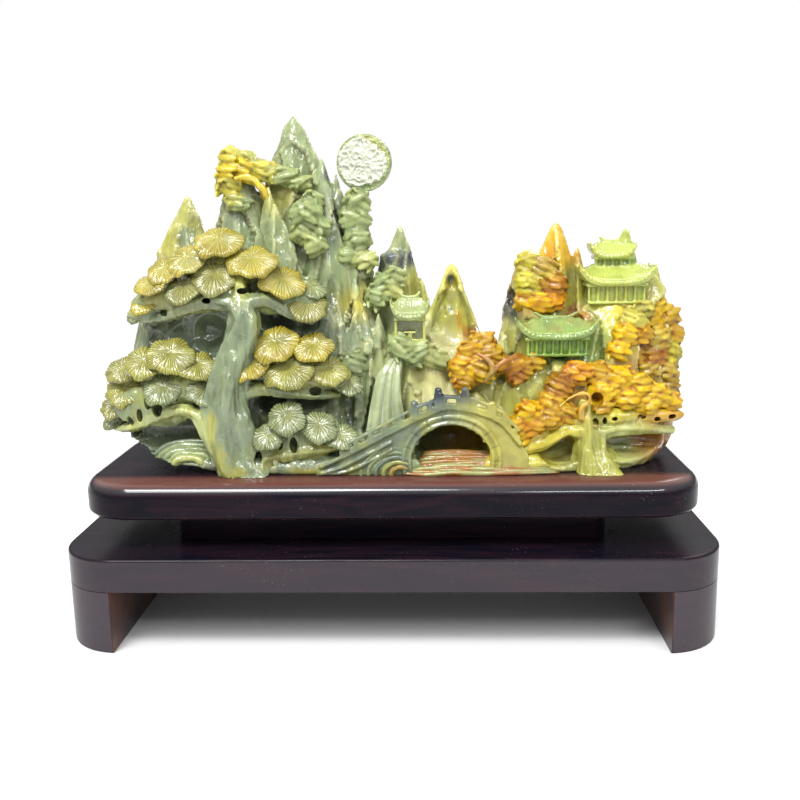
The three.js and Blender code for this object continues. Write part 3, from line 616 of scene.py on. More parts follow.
def stained(colours, flat, stains):
    """Colours with clear-edged stains over them, at places seen from the front."""
    for x, z, half_width, half_height, name in stains:
        away = np.hypot((flat[:, 0] - x) / half_width, (flat[:, 1] - z) / half_height)
        colours = mix(colours, name, (1 - ramp(away, 0.5, 1.3)) * 0.85)
    return colours


def rock_colour(points):
    """The rock's own colour at each point, blended between the patches, with stains."""
    flat = points[:, [0, 2]] + 1.6 * np.stack([rough(points, 5.0, 3.1), rough(points, 5.0, 9.4)], axis=1)
    patches = [((x, z), reach, name) for x, z, reach, name in PATCHES]
    colours = blended(flat, patches, sharpness=2.2, ground="grey_green", least=1e-4)
    return stained(colours, flat, STAINS)


# Finishes

class Signal:
    """A socket in a finish's node tree. Arithmetic on it adds Math nodes."""

    def __init__(self, finish, socket):
        self.finish = finish
        self.socket = socket

    def math(self, operation, *values):
        return self.finish.node("ShaderNodeMath", {"operation": operation}, dict(enumerate(values)))

    def __add__(self, other):
        return self.math("ADD", self, other)

    def __sub__(self, other):
        return self.math("SUBTRACT", self, other)

    def __rsub__(self, other):
        return self.math("SUBTRACT", other, self)

    def __mul__(self, other):
        return self.math("MULTIPLY", self, other)

    def __abs__(self):
        return self.math("ABSOLUTE", self)

    def between(self, low, high):
        """0 at low, 1 at high, smooth in between."""
        values = {"Value": self, "From Min": low, "From Max": high}
        return self.finish.node("ShaderNodeMapRange", {"interpolation_type": "SMOOTHSTEP"}, values)

    def part(self, axis):
        """The X, Y or Z part of a vector."""
        return self.finish.node("ShaderNodeSeparateXYZ", {}, {"Vector": self}, output=axis)

    __radd__ = __add__
    __rmul__ = __mul__


class Finish:
    """A material in the making."""

    def __init__(self, name, library="materials", shader="Principled BSDF"):
        self.material = getattr(bpy.data, library).new(name)
        self.material.use_nodes = True
        self.tree = self.material.node_tree
        self.shader = self.tree.nodes[shader]

    def node(self, kind, options=None, values=None, output=0):
        """Adds a node: its options are set first, then its sockets get numbers, colours or links."""
        node = self.tree.nodes.new(kind)
        for name, value in (options or {}).items():
            setattr(node, name, value)
        for name, value in (values or {}).items():
            self.feed(node.inputs[name], value)
        return Signal(self, node.outputs[output])

    def feed(self, socket, value):
        if isinstance(value, Signal):
            self.tree.links.new(value.socket, socket)
        else:
            socket.default_value = value

    def set(self, **values):
        """Sets the shader's sockets, named in lower case with underscores."""
        names = {socket.name.lower().replace(" ", "_"): socket.name for socket in self.shader.inputs}
        for name, value in values.items():
            self.feed(self.shader.inputs[names[name]], value)

    def place(self):
        return self.node("ShaderNodeTexCoord", output="Object")

    def stretched(self, place, scale):
        return self.node("ShaderNodeMapping", {}, {"Vector": place, "Scale": scale})

    def noise(self, place, scale, detail=4.0, distortion=0.0):
        values = {"Vector": place, "Scale": scale, "Detail": detail, "Distortion": distortion}
        return self.node("ShaderNodeTexNoise", {}, values)

    def mix(self, share, first, second, blend="MIX"):
        options = {"data_type": "RGBA", "blend_type": blend}
        return self.node("ShaderNodeMix", options, {0: share, 6: first, 7: second}, output=2)

    def bump(self, height, depth):
        values = {"Height": height, "Distance": depth, "Strength": 1.0}
        self.set(normal=self.node("ShaderNodeBump", {}, values))


def rgba(red, green, blue):
    return (red, green, blue, 1.0)

def jade_finish(name, roughness=0.07, ripple=0.0007, chips=0.0, polish=0.5):
    """Polished jade: the stone's own colour with clouds, pale veins, fine flecks and a wavy polish."""
    finish = Finish(name)
    place = finish.place()
    stone_colour = finish.node("ShaderNodeAttribute", {"attribute_name": "stone"}, output="Color")
    clouds = finish.noise(place, 70.0, 6.0, 0.6)
    fine = finish.noise(place, 420.0, 3.0)
    veins = 1 - abs(finish.noise(place, 42.0, 5.0, 1.4) - 0.5).between(0.0, 0.014)
    vein_mask = veins * finish.noise(place, 18.0, 2.0).between(0.5, 0.62)
    deeper = finish.mix(0.55, stone_colour, stone_colour, "MULTIPLY")
    clouded = finish.mix(clouds.between(0.42, 0.66) * 0.5, stone_colour, deeper)
    paler = finish.mix(clouds.between(0.5, 0.3) * 0.28, clouded, rgba(0.72, 0.74, 0.5), "SOFT_LIGHT")
    finish.set(
        base_color=finish.mix(vein_mask * 0.14, paler, rgba(0.5, 0.5, 0.3)),
        roughness=fine * 0.18 + roughness,
        ior=1.52,
        specular_ior_level=polish,
        subsurface_weight=0.35,
        subsurface_radius=(1.0, 0.9, 0.4),
        subsurface_scale=0.002,
        coat_weight=polish * 0.4,
        coat_roughness=0.02,
    )
    flow = finish.stretched(place, (1.0, 1.0, 0.3))
    strokes = abs(finish.noise(flow, 150.0, 3.0, 0.4) - 0.5) * 2.2
    wave = finish.noise(place, 110.0, 2.0) * 0.9 + fine * 0.16 - strokes
    if chips:
        flakes = finish.node("ShaderNodeTexVoronoi", {"feature": "F1"}, {"Vector": place, "Scale": chips})
        wave = wave + flakes * 1.2 + finish.noise(place, chips * 1.4, 4.0)
    finish.bump(wave, ripple)
    return finish.material


def rosewood_finish(name, roughness, shine, upright_sheen=0.0, sheen_strip=0.0, edge_polish=0.0, bare_inside=0.0):
    """Dark lacquered rosewood: fine pores, red figure and dust, and a painted sheen, paler and greyer, on its
    upright faces.

    The sheen strip is a painted red-brown sheen of glancing light along the front of the tray's top, and the
    bare inside is the brown of the legs' inner faces.
    """
    finish = Finish(name)
    place = finish.place()
    figure = finish.noise(finish.stretched(place, (3.0, 26.0, 26.0)), 6.0, 5.0, 1.2)
    pores = finish.noise(finish.stretched(place, (14.0, 320.0, 320.0)), 3.0, 2.0)
    dust = finish.noise(place, 900.0, 1.0).between(0.72, 0.8)
    dusty = dust * finish.noise(place, 22.0, 2.0).between(0.45, 0.7)
    wood = finish.mix(figure.between(0.35, 0.72), rgba(*settings().wood_dark), rgba(*settings().wood_red))
    pored = finish.mix(pores.between(0.6, 0.72) * 0.5, wood, rgba(0.006, 0.003, 0.004))
    upward = abs(finish.node("ShaderNodeNewGeometry", output="Normal").part("Z"))
    # Painted sheen: the upright faces are mixed towards a pale grey, as the room's light reflects off them.
    sheened_wood = finish.mix(upward.between(0.5, 0.1) * upright_sheen, pored, rgba(0.13, 0.11, 0.125))
    # Painted sheen: a red-brown strip along the front of the tray's top, where light glances off it.
    if sheen_strip:
        strip = place.part("Y").between(-0.046, -0.058) * upward.between(0.6, 0.97)
        sheened_wood = finish.mix(strip * sheen_strip, sheened_wood, rgba(0.15, 0.055, 0.04))
    if bare_inside:
        inner = abs(place.part("X")).between(0.176, 0.174)
        patchy = finish.noise(place, 60.0, 4.0).between(0.3, 0.7)
        sheened_wood = finish.mix(inner * patchy * bare_inside, sheened_wood, rgba(0.13, 0.065, 0.045))
    finish.set(
        base_color=finish.mix(dusty * 0.35, sheened_wood, rgba(0.4, 0.38, 0.36)),
        roughness=finish.noise(place, 60.0, 3.0) * 0.12 + roughness,
        ior=1.5,
        specular_ior_level=shine,
        coat_weight=upward.between(0.2, 0.5) * upward.between(0.98, 0.9) * edge_polish + shine * 0.3,
        coat_roughness=0.1,
    )
    finish.bump(pores * 0.5 + finish.noise(place, 35.0, 2.0), 0.00012)
    return finish.material


# Rock

def mass_shape(x, y, half_width, half_depth, height):
    points, faces = turned([(0, 0), (1, 0), (0.97, 0.4), (0.92, 0.72), (0.74, 0.9), (0.5, 0.97), (0, 1)], 24)
    points[:, :2] *= oval_reach(points, squareness=3)[:, None]
    return points * (half_width, half_depth, height) + (x, y, 0), faces


def blade_shape(foot, tip, half_width, half_depth, blunt, ridge, sides=28):
    """A blade of rock from its foot to its tip, with a ridge down its front where ridge is near 1."""
    levels = np.linspace(0, 0.97, 12)
    points, faces = turned([(0, 0), *(((1 - level) ** blunt, level) for level in levels), (0, 1)], sides)
    share = oval_reach(points, ridge)[:, None]
    level = points[:, 2:].copy()
    points[:, 2] = 0
    points = points * share * (half_width, half_depth, 1)
    return points + np.array(foot) * (1 - level) + np.array(tip) * level, faces


def small_blades(spire, chance):
    """The thin blades that stand out from the front of a spire."""
    tip, foot, half_width, half_depth, blunt, ridge, count = spire
    for _ in range(round(count * 1.5)):
        level = chance.uniform(0.36, 0.84)
        across = chance.uniform(-0.95, 0.95)
        size = (1 - level) ** blunt
        x = foot[0] + (tip[0] - foot[0]) * level + across * half_width * size
        bulge = (1 - abs(across) ** ridge) ** (1 / ridge)
        y = foot[1] + (tip[1] - foot[1]) * level - half_depth * size * bulge
        z = level * tip[2]
        drop = chance.uniform(0.14, 0.3) * tip[2]
        slope = across * half_width * 0.5 * drop / tip[2]
        ends = (x + slope, y - 0.6, z - drop), (x, y + 0.1, z)
        half_sizes = chance.uniform(1.3, 3), chance.uniform(0.8, 1.5)
        yield blade_shape(*ends, *half_sizes, blunt=0.66, ridge=1.02, sides=12)


def ground_shape(half_width=46.5, half_depth=12.6):
    """The low ground that all the masses stand on."""
    points, faces = turned([(0, 0), (0.97, 0), (1, 1.3), (0.97, 2.2), (0.88, 2.8), (0, 3.4)], 64)
    share = oval_reach(points, squareness=3.4)
    points[:, 0] *= share * half_width
    points[:, 1] *= share * half_depth
    return points, faces


def hulled(points):
    """The rock's points kept inside the boulder's own outline, with its ends cut back below."""
    x, y, z = points.T
    level, left, right = zip(*OUTLINE)
    reach = np.where(x < 0, np.interp(z, level, left), np.interp(z, level, right))
    ratio = ((abs(x) / reach) ** SQUARENESS + (abs(y) / HALF_DEPTH) ** SQUARENESS) ** (1 / SQUARENESS)
    points[:, :2] /= np.maximum(ratio, 1)[:, None]
    return lifted(points)


def lifted(points):
    """Points kept above the boulder's underside, which rises off the tray towards the left end."""
    x = points[:, 0]
    points[:, 2] = np.maximum(points[:, 2], np.interp(x, *zip(*UNDERSIDE)) * (1 + 0.05 * np.sin(x * 2.2)))
    return points


def facets(points, width, height, tilt):
    """How far each point of a chiselled surface stands out, and 1 along the edges of its facets."""
    scaled = points / (width, width, height)
    cells = [noise.voronoi(point) for point in scaled.tolist()]
    gap = np.array([distances[1] - distances[0] for distances, _ in cells])
    middles = np.array([tuple(nodes[0]) for _, nodes in cells])
    lean, stand = (picked(middles, seed) * 2 - 1 for seed in (1, 5))
    aside, _, up = (scaled - middles).T
    out = (lean * aside + 0.3 * stand - 0.3 * up) * tilt * width
    return out, 1 - ramp(gap, 0.01, 0.08)


def picked(places, seed):
    """A chance number from 0 to 1 for each place, always the same for the same place."""
    return np.modf(abs(np.sin(places @ (12.9, 78.2, 37.7) + seed)) * 43.7)[0]


def worn(points, normals):
    """The rock's skin cut into upright facets and folds, with soft lumps and a striped ground, and 1 along
    the facets' edges, where a painted highlight goes.
    """
    x, y, z = points.T
    flow = points + np.stack([rough(points * (1, 1, 0.3), 7, 2.2), rough(points, 9, 5.1), z * 0], axis=1) * 2
    broad, broad_edge = facets(flow, width=4, height=14, tilt=0.38)
    narrow, narrow_edge = facets(flow, width=1.9, height=7.5, tilt=0.17)
    folds = broad + narrow + ridged(flow * (1, 1, 0.24), 1.5, 5.2) * 0.12
    strata = ridged(points * (0.16, 0.5, 1), 0.95, 3.3) * 0.2
    low = (1 - ramp(z, 2.6, 4.4)) * ramp(-y, 2, 6) * ramp(x, -14, -8)
    steady = ramp(z, 0.15, 2.2)
    for tip, *_ in SPIRES:
        away = np.linalg.norm((points - tip) / (2.6, 2.6, 5), axis=1)
        steady = steady * (0.12 + 0.88 * ramp(away, 0.3, 1.6))
    steady = steady * (0.5 + 0.5 * ramp(np.hypot((x - 10.4) / 5, (z - 27) / 8), 0.6, 1.2))
    deep = 1 - 0.95 * ramp(hollow_share(points), 0.2, 0.8)
    move = (folds * deep + rough(points, 5.5, 8.3) * 0.25) * steady * (1 - low) + strata * low
    return points + normals * move[:, None], np.maximum(broad_edge, narrow_edge * 0.6) * (1 - low) * deep


def hollow_share(points):
    """1 on the walls of a hollow, falling to 0 away from it."""
    share = np.zeros(len(points))
    for place in HOLLOWS:
        away = np.linalg.norm((points - place[:3]) / place[3:], axis=1)
        share = np.maximum(share, 1 - ramp(away, 1.02, 1.22))
    return share


class CARVING_OT_rock(bpy.types.Operator):
    """Makes the boulder's peaks, walls and ground as one skin of worn rock with hollows cut into it"""

    bl_idname = "carving.rock"
    bl_label = "Rock"

    def execute(self, context):
        chance = random.Random(7)
        voxel = settings().grain / unit()
        body = Carved()
        for form in MASSES:
            body.add(mass_shape(*form))
        for spire in SPIRES:
            tip, foot, *shape, _ = spire
            for blade in (blade_shape((*foot, 0), tip, *shape), *small_blades(spire, chance)):
                body.add(blade)
        for path, radius in RIMS:
            body.add(bough_shape(path, [radius] * len(path), bark=0))
        body.add(ground_shape())
        points, faces = body.joined()
        hollows = ellipsoids(HOLLOWS, wobble=0.25)
        points, faces, *_ = skinned((hulled(points), faces), voxel * 1.15, hollows)
        points, faces, normals, edges = skinned((points, faces), voxel, smooth=1)
        points, crests = worn(points, normals)
        points = lifted(points)
        hollow = hollow_share(points)
        # Painted highlight: pale cream lines along the facets' edges, standing in for glints.
        colours = mix(rock_colour(points), "cream", crests * 0.35)
        # Painted shade: the hollows' walls are 10% darker, and their edges get less painted highlight.
        colours = mix(colours, colours * 0.9, hollow)
        out = relief(points, edges, normals, rounds=10)
        out = np.where(out > 0, out * (1 - 0.8 * hollow), out)
        # Painted shade in the cuts and painted highlight along the edges.
        colours = painted_relief_light(colours, out, depth=0.3)
        jade_piece("rock", (points, faces), colours, jade_finish("polished_jade"), most=190000)
        return {"FINISHED"}


# Pines

# A pad of needles from the side: distance from its middle and height, from its top round to its stalk.
PAD_PROFILE = [
    (0, 0.03), (0.08, 0.035), (0.18, 0.06), (0.3, 0.085), (0.44, 0.1), (0.58, 0.1), (0.7, 0.09),
    (0.81, 0.07), (0.9, 0.045), (0.965, 0.01), (1, -0.04), (0.995, -0.09), (0.94, -0.14), (0.8, -0.19),
    (0.45, -0.32), (0, -0.8),
]


def pad_shape(radius, chance):
    """A pad of needles: its shape, the fine lines that fan out over it and how far out each point is."""
    # Every other line starts near the pad's middle, and those between start further out.
    lines = round(settings().lines_per_unit * radius) * 2
    points, faces = turned(PAD_PROFILE, lines * 4)
    angle, out = polar(points)
    spoke = np.rint(angle / (2 * math.pi) * lines * 4).astype(int) % (lines * 4)
    starts = np.array([
        chance.uniform(0.03, 0.2) if line % 2 == 0 else chance.uniform(0.36, 0.66) for line in range(lines)
    ])
    depths = np.array([chance.uniform(0.6, 1) for _ in range(lines)])
    line = np.rint(spoke / 4).astype(int) % lines
    groove = np.choose(abs(spoke - np.rint(spoke / 4) * 4).astype(int), [1, 0.4, 0]) * depths[line]
    groove = groove * ramp(out, starts[line], starts[line] + 0.12)
    top = points[:, 2] > -0.1
    seed = chance.uniform(0, 6)
    wave = 1 + 0.05 * np.sin(5 * angle + seed) + 0.03 * np.sin(9 * angle + 2.3 * seed)
    wave = (wave + 0.05 * np.sin(2 * angle + seed)) * (1 - 0.045 * groove * ramp(out, 0.7, 1))
    swirl = angle + 3.2 / lines * np.sin(4 * angle + seed) * out + 1.6 / lines * np.sin(9 * angle - seed)
    points[:, 0], points[:, 1] = np.cos(swirl) * out * wave, np.sin(swirl) * out * wave
    points[:, 2] -= groove * top * 0.055
    points[:, 2] += (0.055 * np.sin(4 * angle + seed) + 0.045 * np.sin(7 * angle - seed)) * out ** 2
    points[:, 1] += 0.14 * (1 - ramp(out, 0, 0.8)) * top
    return points * radius * 1.03, faces, groove * top, out


class CARVING_OT_pines(bpy.types.Operator):
    """Makes the pine's tiers of fluted needle pads"""

    bl_idname = "carving.pines"
    bl_label = "Pine pads"

    def execute(self, context):
        pads = Carved()
        chance = random.Random(4)
        for lean, places in PINE_TIERS.values():
            middle = sum(place[0] for place in places) / len(places)
            for x, y, z, radius, name in places:
                points, faces, groove, out = pad_shape(radius, chance)
                tilt = math.radians(lean + chance.uniform(-5, 7))
                roll = math.radians((x - middle) * 0.9 + chance.uniform(-6, 6))
                swing = math.radians((x - middle) * 0.8)
                turning = turn_of(swing, "Z") @ turn_of(roll, "Y") @ turn_of(tilt, "X")
                stalk = points[:, 2] < -0.6 * radius
                points = points @ np.array(turning).T + (x, y, z)
                points[stalk] += (-0.05 * x, 4, 0)
                base = mix("olive", name, 0.55 + 0.45 * ramp(out, 0.2, 0.8))
                base = mix(base, "sage", ramp(rough(points, 4, 6.1), 0.1, 0.5) * 0.5)
                # Painted highlight: cream on the crests between the grooves, less towards the rim.
                glint_crest = ramp(out, 0.1, 0.4) * (1 - ramp(groove, 0, 0.4))
                base = mix(base, "cream", 0.2 * glint_crest * (1 - 0.6 * ramp(out, 0.8, 1)))
                # Painted shade: the grooves take the darker crease colour.
                base = mix(base, painted_crease_shade(colour(name), 0.7) * (1.05, 0.95, 0.8), ramp(groove, 0, 0.8))
                # Painted shade: the stalks, under the pads, are 30% darker.
                pads.add((points, faces), colours=mix(base, base * 0.7, stalk) * 0.78)
        jade_piece("pine_pads", *pads.painted())
        return {"FINISHED"}


# Leaves

# Least distance between two leaf lobes, squared, as a share of a lobe's length and height.
LOBE_GAP = 0.55


def lobes(places, length, height, point):
    """Foliage of plump lobes in drooping rows over rounded masses, with each lobe's place, way and colour."""
    chance = random.Random(11)
    lumps = [(x, y, z, radius, radius * 0.78, radius * 0.92) for x, y, z, radius, _ in places]
    masses = ellipsoids(lumps, wobble=0.25)
    points, faces, normals, _ = skinned(masses.joined(), voxel=0.36, smooth=5)
    form = Carved()
    form.add((points + normals * height * 0.1, faces))
    warped = points[:, 2] + 0.5 * height * rough(points, 4, 2.6)
    rows_up = np.rint(warped / (height * 0.78))
    slots = points[:, 0] / length + 0.5 * (rows_up % 2)
    order = np.lexsort((slots, rows_up))
    order = order[normals[order, 1] < 0.45]
    scaled = np.stack([points[:, 0] / length, points[:, 1] / length, warped / height], axis=1)
    kept = []
    for index in order.tolist():
        if not kept or np.min(np.sum((scaled[kept] - scaled[index]) ** 2, axis=1)) > LOBE_GAP:
            kept.append(index)
    shape, shape_faces = ball(12, 8)
    taper = 1 - point * (shape[:, 0] + 1) ** 2
    centres = np.array([place[:3] for place in places], dtype=float)
    found = []
    for index in kept:
        spot, outward = points[index], normals[index]
        side = 1 if noise.noise(Vector(spot) / 11) + 0.45 * outward[0] + 0.08 > 0 else -1
        droop = math.radians(12 + 26 * noise.noise(Vector(spot) / 5 + Vector((9, 9, 9))))
        level = np.array([-outward[1], outward[0], 0]) * side
        way = level / max(np.linalg.norm(level), 0.2) * math.cos(droop)
        way = way - np.array([0, 0, 1]) * math.sin(droop) + 0.13 * outward
        way /= np.linalg.norm(way)
        thick = outward - way * (outward @ way)
        thick /= np.linalg.norm(thick)
        size = chance.uniform(0.82, 1.2)
        half = length * 0.62 * size
        down = np.cross(way, thick)
        down *= -np.sign(down[2])
        grown = np.outer(shape[:, 0] * half, way)
        grown += np.outer(shape[:, 1] * taper * height * 0.42, thick)
        grown += np.outer(shape[:, 2] * taper * height * 0.56 * size, down)
        grown += np.outer((shape[:, 2] + 0.3) * height * (0.1 + 1.4 * point), outward)
        grown[:, 2] -= 0.1 * length * ((shape[:, 0] + 1) / 2) ** 2
        form.add((spot + grown, shape_faces))
        nearest = np.argmin(np.linalg.norm(centres - spot, axis=1))
        found.append((spot, way / half, places[nearest][4], chance.random()))
    return form, found


def lobe_colours(points, found, grid):
    """Each lobe's own tint, with painted shade at its root, where it tucks under its neighbours. The grid is
    the spacing of the lobes.
    """
    tree = kdtree.KDTree(len(found))
    for index, (spot, *_) in enumerate(found):
        tree.insert(spot / grid, index)
    tree.balance()
    nearest = np.array([tree.find(point)[1] for point in (points / grid).tolist()])
    spots, ways, stones, tints = zip(*found)
    base = np.array([colour(stone) for stone in stones])[nearest]
    tip = np.sum((points - np.array(spots)[nearest]) * np.array(ways)[nearest], axis=1)
    wander = rough(points, 5, 4.2)
    base = mix(base, "mustard", ramp(wander, 0, 0.5) * (0.1 + 0.25 * (base[:, 0] > 1.1 * base[:, 1])))
    base = mix(base, base * (1, 0.78, 0.5), ramp(-wander, 0.1, 0.6) * 0.35 * (base[:, 0] > 1.45 * base[:, 1]))
    warmth = base[:, 0] / base[:, 1]
    # Painted shade: each lobe's root is darker, and browner on warm leaves, fading towards its tip.
    root = mix(base * (0.76, 0.76, 0.64), base * (0.7, 0.48, 0.2), ramp(warmth, 1.3, 1.55))
    shade = mix((0.94, 0.94, 0.94), (0.88, 0.92, 0.55), ramp(warmth, 1.05, 1.4))
    return mix(root, base * (0.78 + 0.36 * np.array(tints)[nearest])[:, None], ramp(tip, -1, 0.2)) * shade


class CARVING_OT_leaves(bpy.types.Operator):
    """Makes the broad-leaved trees' foliage"""

    bl_idname = "carving.leaves"
    bl_label = "Foliage"

    def execute(self, context):
        finish = jade_finish("carved_leaves", roughness=0.2, polish=0.28)
        for name, (width, height, point, places) in LEAF_CLUMPS.items():
            form, found = lobes(places, width, height, point)
            holes = ellipsoids(LEAF_HOLES) if name == "golden_leaves" else None
            voxel = settings().leaf_grain / unit()
            points, faces, normals, edges = skinned(form.joined(), voxel, holes, smooth=6)
            colours = lobe_colours(points, found, (width, width, height))
            warm = ramp(colours[:, 0] / colours[:, 1], 1.25, 1.6)
            # The tint of the painted shade in the cuts and the lift of the painted highlight on the edges,
            # both warmer on golden leaves.
            crease_shade_tint = mix((0.95, 0.92, 0.9), (0.95, 0.6, 0.4), warm)
            glow = mix((0.05, 0.05, 0.04), (0.07, 0.07, 0), warm)
            out = relief(points, edges, normals)
            colours = painted_relief_light(colours, out, 0.1, crease_shade_tint, glow)
            jade_piece(name, (points, faces), colours, finish, most=110000)
        return {"FINISHED"}


# Trunks

class CARVING_OT_trunks(bpy.types.Operator):
    """Makes the trunks and boughs, and the pierced webs of stone between them"""

    bl_idname = "carving.trunks"
    bl_label = "Trunks and boughs"

    def execute(self, context):
        form = ellipsoids(WEBS, wobble=0.3)
        spots = [(place[:3], max(place[3] * 0.5, 1.5) + 0.8, place[6]) for place in WEBS]
        for path, radii, name in BOUGHS:
            form.add(bough_shape(path, radii, sides=72 if max(radii) > 4 else 20))
            for share in np.linspace(0, 1, len(path) * 4):
                radius = np.interp(share, np.linspace(0, 1, len(radii)), radii)
                spots.append((along(np.array(path, dtype=float), share), radius + 0.8, name))
        voxel = settings().leaf_grain * 1.25 / unit()
        points, faces, normals, edges = skinned(form.joined(), voxel, ellipsoids(HOLES), smooth=2)
        flow = points * (1, 1, 0.5)
        strands = ridged(points * (1.6, 1.6, 0.2), 1.5, 5.5) * 0.12
        strands *= (points[:, 0] < -14) | (abs(points[:, 0] - 32.6) < 3.4)
        bark = rough(points, 1.8, 3.3) * 0.12 + rough(flow, 0.8, 1.3) * 0.05 + strands
        points = lifted(points + normals * bark[:, None])
        base = blended(points, spots, sharpness=3, ground="sage", least=1e-9)
        base = mix(base, "lime", ramp(rough(flow, 4, 2.4), 0.1, 0.5) * 0.45)
        base = mix(base, base * 0.86, ramp(rough(points * (2, 2, 0.3), 1.6, 8.4), 0, 0.4))
        base = stained(base, points[:, [0, 2]] + 0.5 * rough(points, 1.5, 7.1)[:, None], TRUNK_STREAKS)
        # Painted shade in the cuts and painted highlight along the edges.
        colours = painted_relief_light(base, relief(points, edges, normals), depth=0.22)
        jade_piece("trunks", (points, faces), colours, most=110000)
        return {"FINISHED"}


# Moon

# The face is the height of the disc's front inside its rim, as a share of half its thickness.
MOON = {"at": (-3.7, 0.8, 49), "radius": 4.6, "thickness": 2.2, "face": 0.86, "turn": -14}

# The disc's back and rim: shares of its radius and of half its thickness.
MOON_RIM = [(0, -1), (0.6, -1), (0.9, -1), (0.985, -0.6), (1, 0), (0.985, 0.6), (0.95, 0.92), (0.92, 0.88)]


class CARVING_OT_moon(bpy.types.Operator):
    """Makes the moon, a thick disc with a chipped, glittering face"""

    bl_idname = "carving.moon"
    bl_label = "Moon"

    def execute(self, context):
        half, radius = MOON["thickness"] / 2, MOON["radius"]
        rings = MOON_RIM + [(share, MOON["face"]) for share in (*np.linspace(0.9, 0.03, 30), 0)]
        points, faces = turned([(share * radius, level * half) for share, level in rings], 120)
        out = polar(points)[1] + rough(points, 0.9, 5.0) * 0.4
        wander = rough(points, 0.7, 9.0) * 0.7 + rough(points, 1.8, 3.0) * 0.3
        front = points[:, 2] > 0.8 * half
        chip = ramp(points @ (0.62, 0.78, 0) + wander, 0.64 * radius, 0.68 * radius) * front
        ledge = ramp(points @ (0.2, -0.98, 0) + wander, 0.74 * radius, 0.78 * radius) * front
        face = front * (1 - ramp(out, 0.86 * radius, 0.93 * radius)) * (1 - chip) * (1 - ledge)
        points[:, 2] += face * (ridged(points, 0.7, 2.0) * 0.2 + ridged(points, 2.1, 4.0) * 0.11)
        points[:, 2] -= chip * 0.22 + ledge * 0.36
        turning = turn_of(math.radians(MOON["turn"]), "Z") @ turn_of(math.radians(90), "X")
        points = points @ np.array(turning).T + MOON["at"]
        # The face is moon white, partly the stone's own paler colour and partly painted reflection of light.
        colours = mix(mix("celadon", "pale", chip), "moon", face)
        finish = jade_finish("chipped_jade", roughness=0.12, ripple=0.0012, chips=330.0)
        jade_piece("moon", (points, faces), colours, finish)
        return {"FINISHED"}


# Bridge

# The arch is the x of its middle, its half width, the springing's height and the rise above that.
# Rings stand round the arch, each with how far out it lies and its radius. Mouldings run under the deck, each
# with its drop and radius. Posts have an x and a height.
BRIDGE = {
    "front": -13.2, "back": -8.6, "arch": (10, 6.5, 2.2, 6.0), "rings": [(0.15, 0.32), (1.2, 0.28)],
    "mouldings": [(0.1, 0.42), (1.7, 0.3), (3, 0.26)],
    "posts": [(4.2, 2.2), (8, 2.8), (12.2, 2.8), (16.4, 1.9)],
    "deck": [
        (-13, 0.6), (-6.5, 3.5), (-1, 6.3), (4, 9), (9, 11), (14, 10.5), (19, 7.8), (22, 3.4), (23, 0.6),
    ],
}


def deck_height(x):
    return np.interp(x, *zip(*BRIDGE["deck"]))


def arc(centre, reach, height, angles):
    """Points on an upright oval arc that faces the viewer."""
    x, y, z = centre
    return [(x + reach * math.cos(angle), y, z + height * math.sin(angle)) for angle in angles]


def bar_shape(start, end, width, height):
    """A bar between two points, upright in its section."""
    start, end = Vector(start), Vector(end)
    points, faces = block(((end - start).length, width, height), 0.08)
    slope = turn_of(-math.atan2(end.z - start.z, end.x - start.x), "Y")
    return points @ np.array(slope).T + np.array((start + end) / 2), faces


def stone_joints(points):
    """1 in the fine cuts between the arch's stones."""
    middle, half_width, springing, rise = BRIDGE["arch"]
    rounded = np.stack([points[:, 0] - middle, (points[:, 2] - springing) * half_width / rise], axis=1)
    angle, out = polar(rounded)
    out = out - half_width
    cuts = 1 - ramp(abs(np.sin(angle * 9)), 0.06, 0.2)
    return cuts * (out > 0.1) * (out < 1.6) * (points[:, 1] < BRIDGE["front"] + 1.2)


